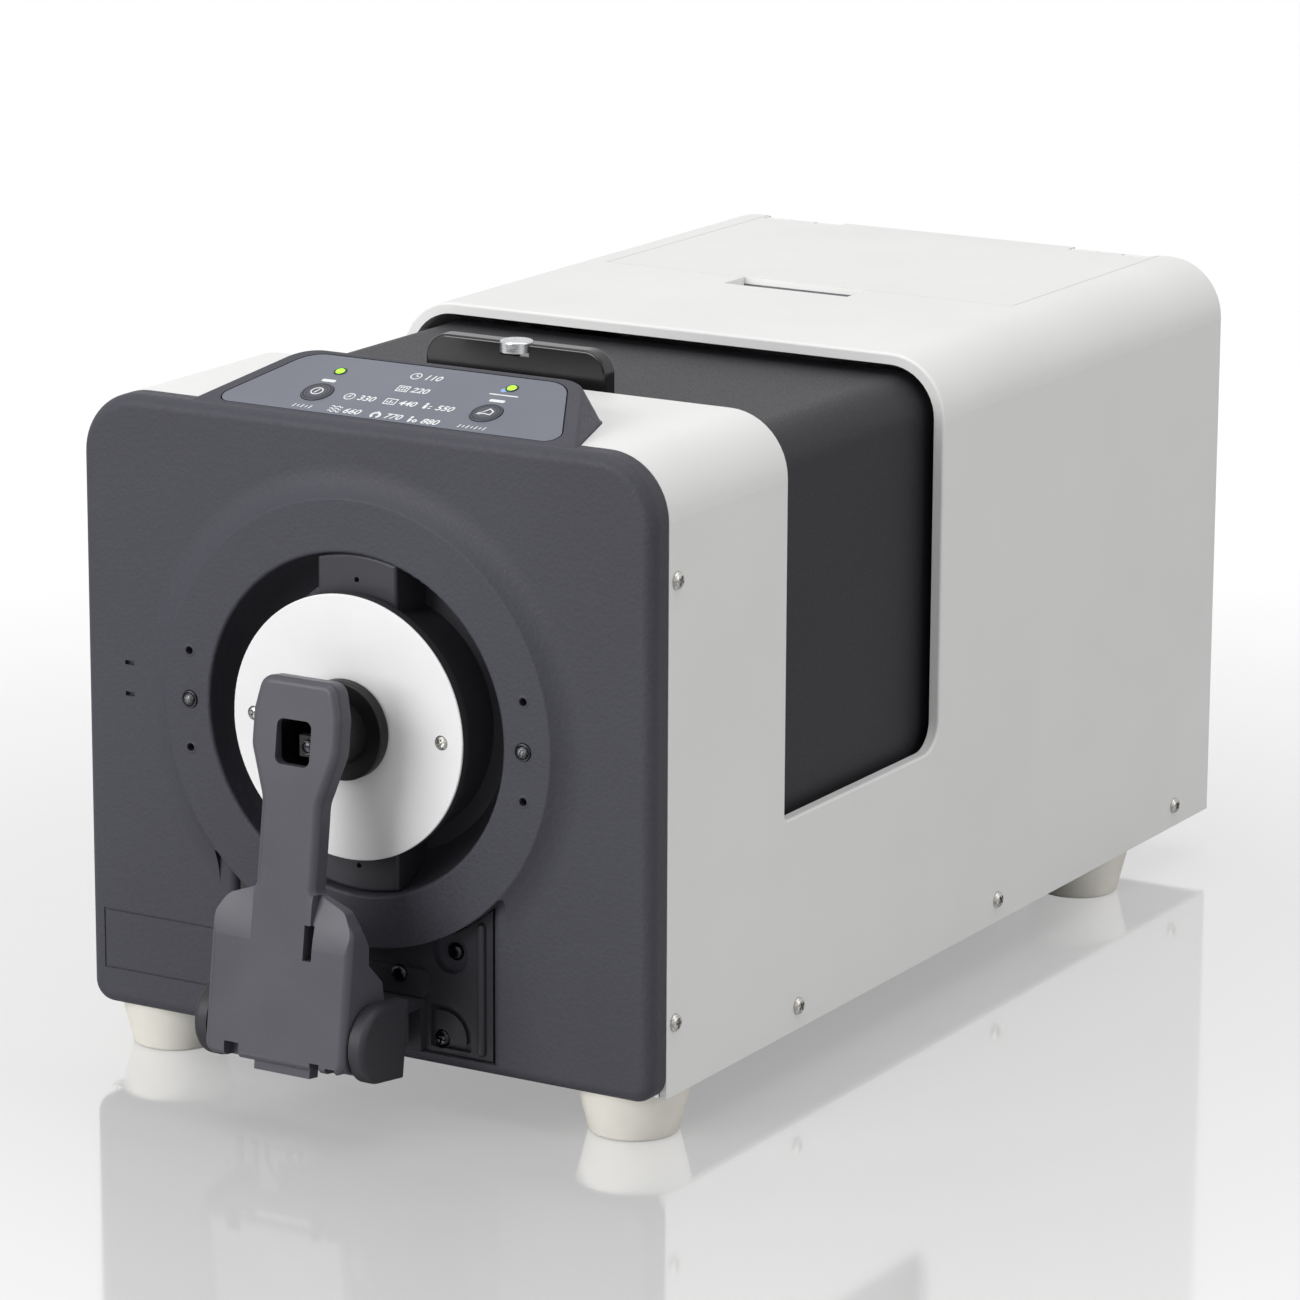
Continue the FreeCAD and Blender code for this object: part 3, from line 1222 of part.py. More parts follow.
def chamber_wall(y0, hole):
    # Bulkhead of the chamber; its upper corners follow the sliding cover's inside.
    y1 = y0 + CHAMBER_WALL
    corner = TOP_RADIUS - SLIDER_INSET - SLIDER_WALL + FIT_GAP
    corners = [V(-CHAMBER_HALF, y0, BENCH_TOP), V(CHAMBER_HALF, y0, BENCH_TOP),
               V(CHAMBER_HALF, y0, CHAMBER_TOP), V(-CHAMBER_HALF, y0, CHAMBER_TOP)]
    wall = prism(corners, [0, 0, corner, corner], V(0, CHAMBER_WALL, 0))
    return wall.cut(ring_rod(hole, y0 - PAST, y1 + PAST))


def chamber_floor():
    y0 = CHAMBER_FRONT + CHAMBER_WALL
    return box(-CHAMBER_HALF, CHAMBER_HALF, y0, NOTCH_BACK + FIT_GAP, BENCH_TOP, BENCH_TOP + CHAMBER_WALL)


def sphere_half(front):
    centre = V(0, SPHERE_Y, RING_HEIGHT)
    wide = SPHERE_FLANGE_R + PAST
    low, high = RING_HEIGHT - wide, RING_HEIGHT + wide
    if front:
        y0, y1 = SPHERE_Y - SPHERE_FLANGE, SPHERE_Y
        keep = box(-wide, wide, SPHERE_CUT, SPHERE_Y, low, high)
    else:
        y0, y1 = SPHERE_Y, SPHERE_Y + SPHERE_FLANGE
        keep = box(-wide, wide, SPHERE_Y, SPHERE_Y + wide, low, high)
    half = Part.makeSphere(SPHERE_R, centre).fuse(ring_rod(SPHERE_FLANGE_R, y0, y1)).common(keep)
    half = half.cut(Part.makeSphere(SPHERE_R - SPHERE_WALL, centre))
    for x, z in sphere_screw_spots():
        half = half.cut(rod(SCREW_R + SCREW_PLAY, V(x, y0 - PAST, z), V(x, y1 + PAST, z)))
    if not front:
        half = half.cut(ring_rod(SPHERE_PORT_R, SPHERE_Y, SPHERE_Y + wide))
    return half.removeSplitter()


def sphere_screw_spots():
    spots = []
    for i in range(SPHERE_SCREWS):
        turn = math.radians(360.0 * (i + 0.5) / SPHERE_SCREWS)
        spots.append((SPHERE_SCREW_R * math.cos(turn), RING_HEIGHT + SPHERE_SCREW_R * math.sin(turn)))
    return spots


def sphere_screws():
    seats = [V(x, SPHERE_Y - SPHERE_FLANGE, z) for x, z in sphere_screw_spots()]
    return [screw(seat, V(0, -1, 0), SPHERE_FLANGE * 2) for seat in seats]


def sphere_stand():
    y0 = SPHERE_Y + SPHERE_FLANGE
    stand = box(-STAND_HALF, STAND_HALF, y0, y0 + STAND_DEEP, BENCH_TOP, RING_HEIGHT - STAND_DROP)
    return stand.cut(Part.makeSphere(SPHERE_R + SCREW_PLAY * 2, V(0, SPHERE_Y, RING_HEIGHT)))


def lens_barrel():
    y0 = NOTCH_BACK + FIT_GAP - BARREL_TUCK
    y1 = y0 + BARREL_LENGTH
    return ring_rod(BARREL_R, y0, y1).cut(ring_rod(BARREL_R - BARREL_WALL, y0, y1))


def objective_lens():
    y0 = NOTCH_BACK + FIT_GAP - LENS_TUCK
    return ring_rod(BARREL_R - BARREL_WALL, y0, y0 + LENS_THICK)


def spectrograph_case():
    high = BENCH_TOP + CASE_HEIGHT
    half = CASE_HALF - CASE_WALL
    case = box(-CASE_HALF, CASE_HALF, CASE_FRONT, CASE_BACK, BENCH_TOP, high)
    case = case.cut(box(-half, half, CASE_FRONT + CASE_WALL, CASE_BACK - CASE_WALL, BENCH_TOP + CASE_WALL,
                        high - CASE_WALL))
    return case.cut(ring_rod(BARREL_R + SCREW_PLAY, CASE_FRONT - PAST, CASE_FRONT + CASE_WALL + 1))


def grating():
    back = CASE_BACK - CASE_WALL
    half = GRATING_HALF
    block = box(-half, half, back - GRATING_THICK, back, RING_HEIGHT - half, RING_HEIGHT + half)
    centre = V(0, back - GRATING_SAG - GRATING_CURVE, RING_HEIGHT)
    return block.cut(Part.makeSphere(GRATING_CURVE, centre))


def detector_board():
    x1 = CASE_HALF - CASE_WALL
    y0 = CASE_FRONT + CASE_WALL + DETECTOR_SETBACK
    half = DETECTOR_SIZE / 2
    return box(x1 - DETECTOR_THICK, x1, y0, y0 + DETECTOR_SIZE, RING_HEIGHT - half, RING_HEIGHT + half)


def lamp_place(share):
    # Place across the room between the sphere's flange and the end of the chamber.
    return SPHERE_FLANGE_R + (CHAMBER_HALF - SPHERE_FLANGE_R) * share


def lamp_housing():
    wall = LAMP_WALL
    x0, x1 = lamp_place(LAMP_NEAR), lamp_place(LAMP_FAR)
    y0, y1 = SPHERE_Y + LAMP_SETBACK, CHAMBER_FRONT - wall
    high = RING_HEIGHT + LAMP_RISE
    case = box(x0, x1, y0, y1, BENCH_TOP, high)
    case = case.cut(box(x0 + wall, x1 - wall, y0 + wall, y1 - wall, RING_HEIGHT - LAMP_DROP, high - wall))
    middle = (y0 + y1) / 2
    return case.cut(rod(LAMP_WINDOW_R, V(x0 - PAST, middle, RING_HEIGHT), V(x0 + PAST, middle, RING_HEIGHT)))


def xenon_lamp():
    x = lamp_place((LAMP_NEAR + LAMP_FAR) / 2)
    y = (SPHERE_Y + LAMP_SETBACK + CHAMBER_FRONT - LAMP_WALL) / 2
    low = RING_HEIGHT - LAMP_DROP
    return rod(BULB_R, V(x, y, low), V(x, y, low + BULB_TALL))


def main_board():
    low = TRAY_TOP + BOARD_LIFT
    return box(BOARD_X, BOARD_X + BOARD_WIDE, BOARD_Y, BOARD_Y + BOARD_LONG, low, low + BOARD_THICK)


def board_standoffs():
    across = (BOARD_X + BOARD_CLEAR, BOARD_X + BOARD_WIDE - BOARD_CLEAR)
    along = (BOARD_Y + BOARD_CLEAR, BOARD_Y + BOARD_LONG / 2, BOARD_Y + BOARD_LONG - BOARD_CLEAR)
    high = TRAY_TOP + BOARD_LIFT
    return [rod(STANDOFF_R, V(x, y, TRAY_TOP), V(x, y, high)) for x in across for y in along]


def power_supply():
    return box(SUPPLY_X, SUPPLY_X + SUPPLY_WIDE, SUPPLY_Y, SUPPLY_Y + SUPPLY_LONG, TRAY_TOP,
               TRAY_TOP + SUPPLY_HIGH)


def access_lid():
    plate = box(-LID_HALF, LID_HALF, LID_FRONT, REAR_FACE, LID_UNDER, TOP)
    for x in (-LID_BARREL_X, LID_BARREL_X):
        wide = LID_BARREL_WIDE * 1.5 + FIT_GAP * 2
        front = LID_HINGE_Y - LID_BARREL_R
        plate = plate.cut(box(x - wide, x + wide, front - FIT_GAP, DEPTH, LID_UNDER - PAST, TOP + PAST))
        start = V(x - LID_BARREL_WIDE / 2, LID_HINGE_Y, LID_HINGE_Z)
        end = V(x + LID_BARREL_WIDE / 2, LID_HINGE_Y, LID_HINGE_Z)
        leaf = box(start.x, end.x, front - LID_LEAF, LID_HINGE_Y, LID_HINGE_Z, TOP - SCREW_PLAY)
        plate = joined([plate, rod(LID_BARREL_R, start, end), leaf])
        past = V(PAST, 0, 0)
        plate = plate.cut(rod(LID_PIN_R + PIN_PLAY, start - past, end + past))
    return plate


def lid_hinge_brackets():
    # Two knuckles on a leg each, with the pin fast in both.
    brackets = []
    low = LID_HINGE_Z - LID_LEG
    reach = V(LID_BARREL_WIDE * 1.5 + FIT_GAP, 0, 0)
    for x in (-LID_BARREL_X, LID_BARREL_X):
        middle = V(x, LID_HINGE_Y, LID_HINGE_Z)
        parts = [rod(LID_PIN_R, middle - reach, middle + reach)]
        for side in (-1, 1):
            near = middle + V(side * (LID_BARREL_WIDE / 2 + FIT_GAP), 0, 0)
            far = near + V(side * LID_BARREL_WIDE, 0, 0)
            x0, x1 = sorted((near.x, far.x))
            parts.append(rod(LID_BARREL_R, near, far))
            parts.append(box(x0, x1, LID_HINGE_Y - LID_BARREL_R, REAR_BACK, low, LID_HINGE_Z))
        brackets.append(joined(parts))
    return brackets


def storage_tray():
    y0, y1 = TRAY_Y
    z1 = LID_UNDER - TRAY_REST
    z0 = z1 - TRAY_DEEP
    well = box(-TRAY_HALF, TRAY_HALF, y0, y1, z0, z1)
    rim = box(-TRAY_HALF - TRAY_RIM, TRAY_HALF + TRAY_RIM, LID_FRONT, y1, z1 - TRAY_WALL, z1)
    half = TRAY_HALF - TRAY_WALL
    tray = well.fuse(rim)
    tray = tray.cut(box(-half, half, y0 + TRAY_WALL, y1 - TRAY_WALL, z0 + TRAY_WALL * 2, z1 + PAST))
    seat = V(0, (y0 + y1) / 2, z0 + TRAY_WALL)
    return tray.cut(rod(MASK_R + FIT_GAP, seat, seat + V(0, 0, TRAY_DEEP))).removeSplitter()


def spare_mask():
    floor = LID_UNDER - TRAY_REST - TRAY_DEEP + TRAY_WALL
    return mask_disc(SPARE_MASK_PORT_R, V(0, sum(TRAY_Y) / 2, floor + MASK_THICK), V(0, 0, 1))


def rear_seats():
    return [V(x, REAR_FACE, BASE + REAR_SCREW_RISE) for x in (-FOOT_X, -REAR_SCREW_X, REAR_SCREW_X, FOOT_X)]


def rear_panel():
    panel = arch(COVER_WALL + FIT_GAP, REAR_BACK, REAR_FACE, BASE)
    panel = panel.cut(box(-LID_HALF - 1, LID_HALF + 1, 0, DEPTH + PAST, LID_HINGE_Z - PAST, TOP))
    panel = panel.cut(fan_grille())
    for x, z, wide, tall in rear_cutouts():
        panel = panel.cut(box(x - wide / 2, x + wide / 2, 0, DEPTH, z - tall / 2, z + tall / 2))
    for seat in rear_seats():
        panel = panel.cut(screw_hole(seat, V(0, 1, 0), SCREW_GRIP))
    return panel


def fan_grille():
    # Ring slots in front of the fan, parted by a cross of spokes.
    low = V(FAN_X, REAR_BACK - PAST, FAN_Z)
    high = V(FAN_X, REAR_FACE + PAST, FAN_Z)
    slots = joined([tube(radius, radius - GRILLE_SLOT, low, high) for radius in GRILLE_RINGS])
    half = GRILLE_SPOKE / 2
    slots = slots.cut(box(FAN_X - half, FAN_X + half, 0, DEPTH + PAST, FAN_Z - FAN_SIZE, FAN_Z + FAN_SIZE))
    return slots.cut(box(FAN_X - FAN_SIZE, FAN_X + FAN_SIZE, 0, DEPTH + PAST, FAN_Z - half, FAN_Z + half))


def rear_cutouts():
    cutouts = [(INLET_X, INLET_Z, INLET_WIDE, INLET_TALL),
               (SWITCH_X, INLET_Z, SWITCH_WIDE + SWITCH_WALL * 2, SWITCH_TALL + SWITCH_WALL * 2)]
    for x, wide, tall, deep in (USB_SOCKET, SERIAL_SOCKET):
        cutouts.append((x, PORT_Z, wide, tall))
    return cutouts


def centred_box(x, z, wide, tall, y0, y1):
    return box(x - wide / 2, x + wide / 2, y0, y1, z - tall / 2, z + tall / 2)


def power_inlet():
    play = SCREW_PLAY * 2
    wide, tall, deep = INLET_ROOM
    back = REAR_BACK - deep
    body = centred_box(INLET_X, INLET_Z, INLET_WIDE - play, INLET_TALL - play, REAR_BACK - INLET_DEEP, REAR_FACE)
    body = body.cut(centred_box(INLET_X, INLET_Z, wide, tall, back, DEPTH))
    blades = [centred_box(INLET_X + x, INLET_Z + z, INLET_BLADE[0], INLET_BLADE[1], back - 1,
                          REAR_FACE - INLET_BLADE_BACK) for x, z in INLET_BLADES]
    return joined([body] + blades)


def switch_frame():
    wide = SWITCH_WIDE + SWITCH_WALL * 2 - SCREW_PLAY * 2
    tall = SWITCH_TALL + SWITCH_WALL * 2 - SCREW_PLAY * 2
    frame = centred_box(SWITCH_X, INLET_Z, wide, tall, REAR_BACK - SWITCH_DEEP, REAR_FACE)
    frame = frame.cut(centred_box(SWITCH_X, INLET_Z, SWITCH_WIDE - SWITCH_WALL, SWITCH_TALL - SWITCH_WALL,
                                  REAR_BACK - SWITCH_DEEP + SHEET, DEPTH))
    return frame.cut(rocker_pin(ROCKER_PIN_R + PIN_PLAY, SCREW_PLAY * 2))


def rocker_pin(radius, play):
    reach = V(SWITCH_WIDE / 2 + FIT_GAP + play, 0, 0)
    middle = V(SWITCH_X, REAR_BACK - ROCKER_PIN_DEEP, INLET_Z)
    return rod(radius, middle - reach, middle + reach)


def power_rocker():
    half = SWITCH_WIDE / 2 - ROCKER_SIDE
    tall = SWITCH_TALL / 2 - ROCKER_END
    x = SWITCH_X - half
    back = REAR_BACK - ROCKER_BACK
    peak = REAR_BACK + ROCKER_PEAK
    points = [V(x, back, INLET_Z - tall + ROCKER_TAPER), V(x, peak, INLET_Z - tall),
              V(x, REAR_BACK + ROCKER_DIP, INLET_Z), V(x, peak, INLET_Z + tall),
              V(x, back, INLET_Z + tall - ROCKER_TAPER)]
    rocker = polygon_face(points).extrude(V(half * 2, 0, 0)).fuse(rocker_pin(ROCKER_PIN_R, 0))
    rocker.rotate(V(SWITCH_X, REAR_BACK - ROCKER_PIN_DEEP, INLET_Z), V(1, 0, 0), ROCKER_TILT)
    return rocker.removeSplitter()


def data_socket(x, wide, tall, deep):
    back = REAR_BACK - deep
    body = centred_box(x, PORT_Z, wide - SCREW_PLAY * 2, tall - SCREW_PLAY * 2, back, REAR_FACE)
    room = centred_box(x, PORT_Z, wide - SOCKET_WALL * 2, tall - SOCKET_WALL * 2, back + SOCKET_FLOOR, DEPTH)
    return body.cut(room)


def fan_rod(radius, y0, y1):
    return rod(radius, V(FAN_X, y0, FAN_Z), V(FAN_X, y1, FAN_Z))


def fan_frame():
    y0 = REAR_BACK - FAN_DEEP
    y1 = y0 + FAN_STRUT
    frame = centred_box(FAN_X, FAN_Z, FAN_SIZE, FAN_SIZE, y0, REAR_BACK)
    frame = frame.cut(fan_rod(FAN_HOLE_R, y0 - PAST, DEPTH))
    strut = centred_box(FAN_X, FAN_Z, FAN_HOLE_R * 2 + 1, FAN_STRUT, y0, y1)
    return joined([frame, fan_rod(FAN_HUB_R, y0, y1), strut, fan_rod(FAN_SHAFT_R, y0, y0 + FAN_SHAFT_LONG)])


def fan_rotor():
    y0 = REAR_BACK - FAN_DEEP + FAN_STRUT + FAN_HUB_GAP
    half = FAN_BLADE_WIDE / 2
    thin = FAN_BLADE_THICK / 2
    parts = [fan_rod(FAN_HUB_R, y0, y0 + FAN_HUB_LONG)]
    for i in range(FAN_BLADES):
        blade = box(-thin, thin, -half, half, FAN_HUB_R - 1, FAN_HOLE_R - FAN_BLADE_GAP)
        blade.rotate(V(0, 0, 0), V(0, 0, 1), FAN_BLADE_PITCH)
        blade.translate(V(0, y0 + FAN_HUB_LONG / 2, 0))
        blade.rotate(V(0, 0, 0), V(0, 1, 0), 360.0 * i / FAN_BLADES)
        blade.translate(V(FAN_X, 0, FAN_Z))
        parts.append(blade)
    bore_end = REAR_BACK - FAN_DEEP + FAN_SHAFT_LONG + FAN_HUB_GAP
    return joined(parts).cut(fan_rod(FAN_SHAFT_R + PIN_PLAY, y0 - PAST, bore_end))


def case_screws():
    seats = side_seats() + [(seat, V(0, 1, 0)) for seat in rear_seats()]
    return [screw(seat, out, SCREW_GRIP) for seat, out in seats]


def mask_screws():
    return [screw(mask_seat(side), V(0, -1, 0), SCREW_GRIP, MASK_SCREW_HEAD_R) for side in (-1, 1)]


def save(name, shapes):
    solids = shapes if isinstance(shapes, list) else [shapes]
    group = Part.makeCompound([shape for solid in solids for shape in solid.Solids])
    group.translate(V(0, -MIDDLE, 0))
    if not group.isValid():
        print("not valid:", name)
    group.exportStep("parts/" + name + ".step")
    print(name, len(group.Solids), "solids", round(group.Volume / 1000.0, 2), "cm3")


os.makedirs("parts", exist_ok=True)
save("main_cover", main_cover())
save("base_tray", base_tray())
save("front_panel", front_panel())
save("port_bowl", port_bowl())
save("console_housing", console_housing())
save("console_membrane", console_membrane())
save("power_key", console_key(-1))
save("measure_key", console_key(1))
save("console_leds", [console_led(-1), console_led(1)])
save("mask_carrier", mask_carrier())
save("target_mask", target_mask())
save("mask_screws", mask_screws())
save("locating_plungers", locating_plungers())
save("hinge_bracket", hinge_bracket())
save("hinge_pin", hinge_pin())
save("bracket_screws", bracket_screws())
save("sample_arm", sample_arm())
save("viewing_camera", viewing_camera())
save("sample_pad", sample_pad())
save("chamber_cover", chamber_cover())
save("cover_handle", cover_handle())
save("latch_button", latch_button())
save("handle_screws", handle_screws())
save("bench_plate", bench_plate())
save("bench_posts", bench_posts())
save("cover_rails", cover_rails())
save("chamber_front_wall", chamber_wall(CHAMBER_FRONT, SPHERE_PORT_R))
save("chamber_rear_wall", chamber_wall(NOTCH_BACK + FIT_GAP, BARREL_R + SCREW_PLAY))
save("chamber_floor", chamber_floor())
save("sphere_front_half", sphere_half(True))
save("sphere_rear_half", sphere_half(False))
save("sphere_screws", sphere_screws())
save("sphere_stand", sphere_stand())
save("lens_barrel", lens_barrel())
save("objective_lens", objective_lens())
save("spectrograph_case", spectrograph_case())
save("grating", grating())
save("detector_board", detector_board())
save("lamp_housing", lamp_housing())
save("xenon_lamp", xenon_lamp())
save("main_board", main_board())
save("power_supply", power_supply())
save("access_lid", access_lid())
save("lid_hinge_brackets", lid_hinge_brackets())
save("storage_tray", storage_tray())
save("spare_mask", spare_mask())
save("rear_panel", rear_panel())
save("power_inlet", power_inlet())
save("switch_frame", switch_frame())
save("power_rocker", power_rocker())
save("usb_socket", data_socket(*USB_SOCKET))
save("serial_socket", data_socket(*SERIAL_SOCKET))
save("fan_frame", fan_frame())
save("fan_rotor", fan_rotor())
save("case_screws", case_screws())
save("foot_screws", foot_screws())
for label, place in zip(("front_left", "front_right", "rear_left", "rear_right"), foot_spots()):
    save("foot_" + label, foot(place))
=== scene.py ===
import math

import bmesh
import bpy
from mathutils import Matrix, Vector


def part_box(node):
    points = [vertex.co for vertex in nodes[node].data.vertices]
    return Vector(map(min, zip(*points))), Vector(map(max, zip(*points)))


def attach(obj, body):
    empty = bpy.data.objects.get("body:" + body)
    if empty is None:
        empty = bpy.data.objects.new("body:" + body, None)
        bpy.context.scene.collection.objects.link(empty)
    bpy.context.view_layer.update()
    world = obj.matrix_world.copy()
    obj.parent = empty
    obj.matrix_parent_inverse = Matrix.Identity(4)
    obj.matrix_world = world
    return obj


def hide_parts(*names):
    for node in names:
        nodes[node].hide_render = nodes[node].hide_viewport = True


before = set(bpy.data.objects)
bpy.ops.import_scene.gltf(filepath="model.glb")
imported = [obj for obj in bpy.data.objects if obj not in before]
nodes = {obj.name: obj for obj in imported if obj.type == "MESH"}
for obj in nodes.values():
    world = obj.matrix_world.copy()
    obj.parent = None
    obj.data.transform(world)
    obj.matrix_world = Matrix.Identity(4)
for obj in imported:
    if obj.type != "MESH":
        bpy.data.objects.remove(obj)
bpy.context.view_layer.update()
scene = bpy.context.scene
mm = 0.001
sharpAngle = 0.6
print("frame loaded:", len(nodes), "nodes")


class Flow:
    # a socket's value, so that shader maths reads as plain sums
    def __init__(self, finish, socket):
        self.finish = finish
        self.socket = socket

    def maths(self, operation, other):
        return self.finish.node("ShaderNodeMath", {"operation": operation}, {0: self, 1: other})

    def __add__(self, other):
        return self.maths("ADD", other)

    def __mul__(self, other):
        return self.maths("MULTIPLY", other)

    def __gt__(self, other):
        return self.maths("GREATER_THAN", other)

    def __lt__(self, other):
        return self.maths("LESS_THAN", other)


class Finish:
    # one material: its shader, and the nodes that feed it
    def __init__(self, name):
        self.material = bpy.data.materials.new(name)
        self.material.use_nodes = True
        self.tree = self.material.node_tree
        self.tree.nodes.clear()
        self.shader = self.tree.nodes.new("ShaderNodeBsdfPrincipled")
        self.output = self.tree.nodes.new("ShaderNodeOutputMaterial")
        self.tree.links.new(self.shader.outputs[0], self.output.inputs[0])

    def node(self, kind, settings=None, sockets=None, out=0):
        made = self.tree.nodes.new(kind)
        for key, value in (settings or {}).items():
            if key == "stops":
                self.setStops(made.color_ramp, value)
            else:
                setattr(made, key, value)
        for key, value in (sockets or {}).items():
            self.feed(made.inputs[key], value)
        return Flow(self, made.outputs[out])

    def setStops(self, ramp, stops):
        while len(ramp.elements) < len(stops):
            ramp.elements.new(0.5)
        for element, (place, colour) in zip(ramp.elements, stops):
            element.position = place
            element.color = (*colour, 1.0)

    def feed(self, socket, value):
        if isinstance(value, Flow):
            self.tree.links.new(value.socket, socket)
        elif socket.type == "RGBA":
            socket.default_value = (*value, 1.0)
        else:
            socket.default_value = value

    def set(self, **sockets):
        for key, value in sockets.items():
            self.feed(self.shader.inputs[socketNames[key]], value)

    def place(self):
        return self.node("ShaderNodeTexCoord", out="Object")

    def axis(self, name):
        return self.node("ShaderNodeSeparateXYZ", None, {0: self.place()}, out="XYZ".index(name))

    def stretched(self, scale):
        return self.node("ShaderNodeMapping", None, {"Vector": self.place(), "Scale": scale})

    def noise(self, scale, detail=3.0, rough=0.55, vector=None):
        sockets = {"Vector": vector or self.place(), "Scale": scale, "Detail": detail, "Roughness": rough}
        return self.node("ShaderNodeTexNoise", None, sockets)

    def cells(self, scale, feature="F1", out="Distance"):
        return self.node("ShaderNodeTexVoronoi", {"feature": feature},
                         {"Vector": self.place(), "Scale": scale}, out=out)

    def spread(self, value, low, high, start=0.35, end=0.65):
        return self.node("ShaderNodeMapRange", {"clamp": True},
                         {0: value, 1: start, 2: end, 3: low, 4: high})

    def mix(self, factor, a, b):
        return self.node("ShaderNodeMix", {"data_type": "RGBA"}, {0: factor, 6: a, 7: b}, out=2)

    def tinted(self, level, first, last, start=0.35, end=0.65):
        # a colour that runs from first to last as the level rises
        return self.mix(self.spread(level, 0.0, 1.0, start, end), linear(*first), linear(*last))

    def bump(self, height, deep, strength):
        sockets = {"Height": height, "Distance": deep * mm, "Strength": strength}
        return self.node("ShaderNodeBump", None, sockets)


socketNames = {"colour": "Base Color", "rough": "Roughness", "metal": "Metallic", "normal": "Normal",
               "ior": "IOR", "glow": "Emission Color", "glowPower": "Emission Strength",
               "clear": "Transmission Weight", "specular": "Specular IOR Level"}


def linear(red, green, blue):
    # sRGB levels, 0 to 255, as the shader's own colour
    levels = []
    for level in (red, green, blue):
        part = level / 255.0
        levels.append(part / 12.92 if part <= 0.04045 else ((part + 0.055) / 1.055) ** 2.4)
    return tuple(levels)


def scaled(colour, share):
    return [level * share for level in colour]


def lifted(colour, step):
    return [level + step for level in colour]


# in every look, colours are sRGB levels, texture scales are per metre and depths are in millimetres
shellLook = {"colour": (238, 238, 237), "shade": (234, 234, 233), "cloud": 9.0, "smear": 60.0,
             "rough": (0.37, 0.48), "peel": 650.0, "deep": 0.02, "strength": 0.6, "specular": 0.45}


def shellPaint():
    # satin white paint on sheet metal, with a faint orange peel
    look = shellLook
    f = Finish("shellPaint")
    f.set(colour=f.tinted(f.noise(look["cloud"], detail=2.0), look["shade"], look["colour"]))
    f.set(rough=f.spread(f.noise(look["smear"]), *look["rough"]), specular=look["specular"])
    f.set(normal=f.bump(f.noise(look["peel"], detail=2.0, rough=0.5), look["deep"], look["strength"]))
    return f.material


grainLook = {"cloud": 7.0, "cloudShare": 0.6, "pebbleShare": 0.65, "fineShare": 0.5, "finer": 2.3,
             "toneAt": (0.25, 0.75), "roughAt": (0.2, 0.8), "smoother": 0.06, "rougher": 0.1,
             "strength": 0.6, "specular": 0.26}


def grainedPlastic(name, colour, shade, cell, deep, rough):
    # moulded plastic with a fine leather-like grain
    look = grainLook
    f = Finish(name)
    fine = f.noise(cell * look["finer"], detail=4.0, rough=0.6)
    height = f.cells(cell) * look["pebbleShare"] + fine * look["fineShare"]
    tone = f.noise(look["cloud"]) * look["cloudShare"] + height * (1.0 - look["cloudShare"])
    f.set(colour=f.tinted(tone, shade, colour, *look["toneAt"]))
    f.set(rough=f.spread(height, rough - look["smoother"], rough + look["rougher"], *look["roughAt"]))
    f.set(normal=f.bump(height, deep, look["strength"]), specular=look["specular"])
    return f.material


satinLook = {"cloud": 12.0, "fine": 2600.0, "speckAt": (0.5, 0.75), "speckStep": 22, "smear": 45.0,
             "smoother": 0.05, "rougher": 0.06, "deep": 0.03, "strength": 0.5, "specular": 0.3}


def satinPlastic(name, colour, shade, rough, speck=0.0):
    # smooth moulding with a very fine spark-eroded texture
    look = satinLook
    f = Finish(name)
    fine = f.noise(look["fine"], detail=2.0, rough=0.7)
    base = f.tinted(f.noise(look["cloud"]), shade, colour)
    if speck > 0:
        light = linear(*lifted(colour, look["speckStep"]))
        base = f.mix(f.spread(fine, 0.0, speck, *look["speckAt"]), base, light)
    f.set(colour=base, specular=look["specular"])
    f.set(rough=f.spread(f.noise(look["smear"]), rough - look["smoother"], rough + look["rougher"]))
    f.set(normal=f.bump(fine, look["deep"], look["strength"]))
    return f.material


glossLook = {"cloud": 10.0, "step": 7, "hairs": 40.0, "stretch": (1.0, 60.0, 14.0), "rougher": 0.08,
             "deep": 0.01, "strength": 0.4, "specular": 0.5}


def glossPlastic(name, colour, rough):
    # polished moulding with a few hair marks
    look = glossLook
    f = Finish(name)
    hairs = f.noise(look["hairs"], detail=5.0, rough=0.7, vector=f.stretched(look["stretch"]))
    f.set(colour=f.tinted(f.noise(look["cloud"]), colour, lifted(colour, look["step"])))
    f.set(rough=f.spread(hairs, rough, rough + look["rougher"]), specular=look["specular"])
    f.set(normal=f.bump(hairs, look["deep"], look["strength"]))
    return f.material


maskLook = {"colour": (240, 240, 240), "shade": (232, 232, 233), "backing": (46, 46, 50), "facing": 0.9,
            "cloud": 14.0, "smear": 900.0, "rough": (0.5, 0.62), "grain": 1800.0, "deep": 0.01,
            "strength": 0.5, "specular": 0.35}


def maskFinish():
    # white reflecting face on a dark backing; the backing shows along the rim
    look = maskLook
    f = Finish("maskFinish")
    low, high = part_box("target_mask")
    behind = f.axis("Y") > low.y + look["facing"] * mm
    white = f.tinted(f.noise(look["cloud"]), look["shade"], look["colour"])
    f.set(colour=f.mix(behind, white, linear(*look["backing"])), specular=look["specular"])
    f.set(rough=f.spread(f.noise(look["smear"]), *look["rough"]))
    f.set(normal=f.bump(f.noise(look["grain"]), look["deep"], look["strength"]))
    return f.material


coatingLook = {"colour": (247, 246, 243), "shade": (238, 237, 232), "cloud": 30.0, "grain": 1500.0,
               "rough": 0.9, "deep": 0.06, "strength": 0.6, "specular": 0.2}


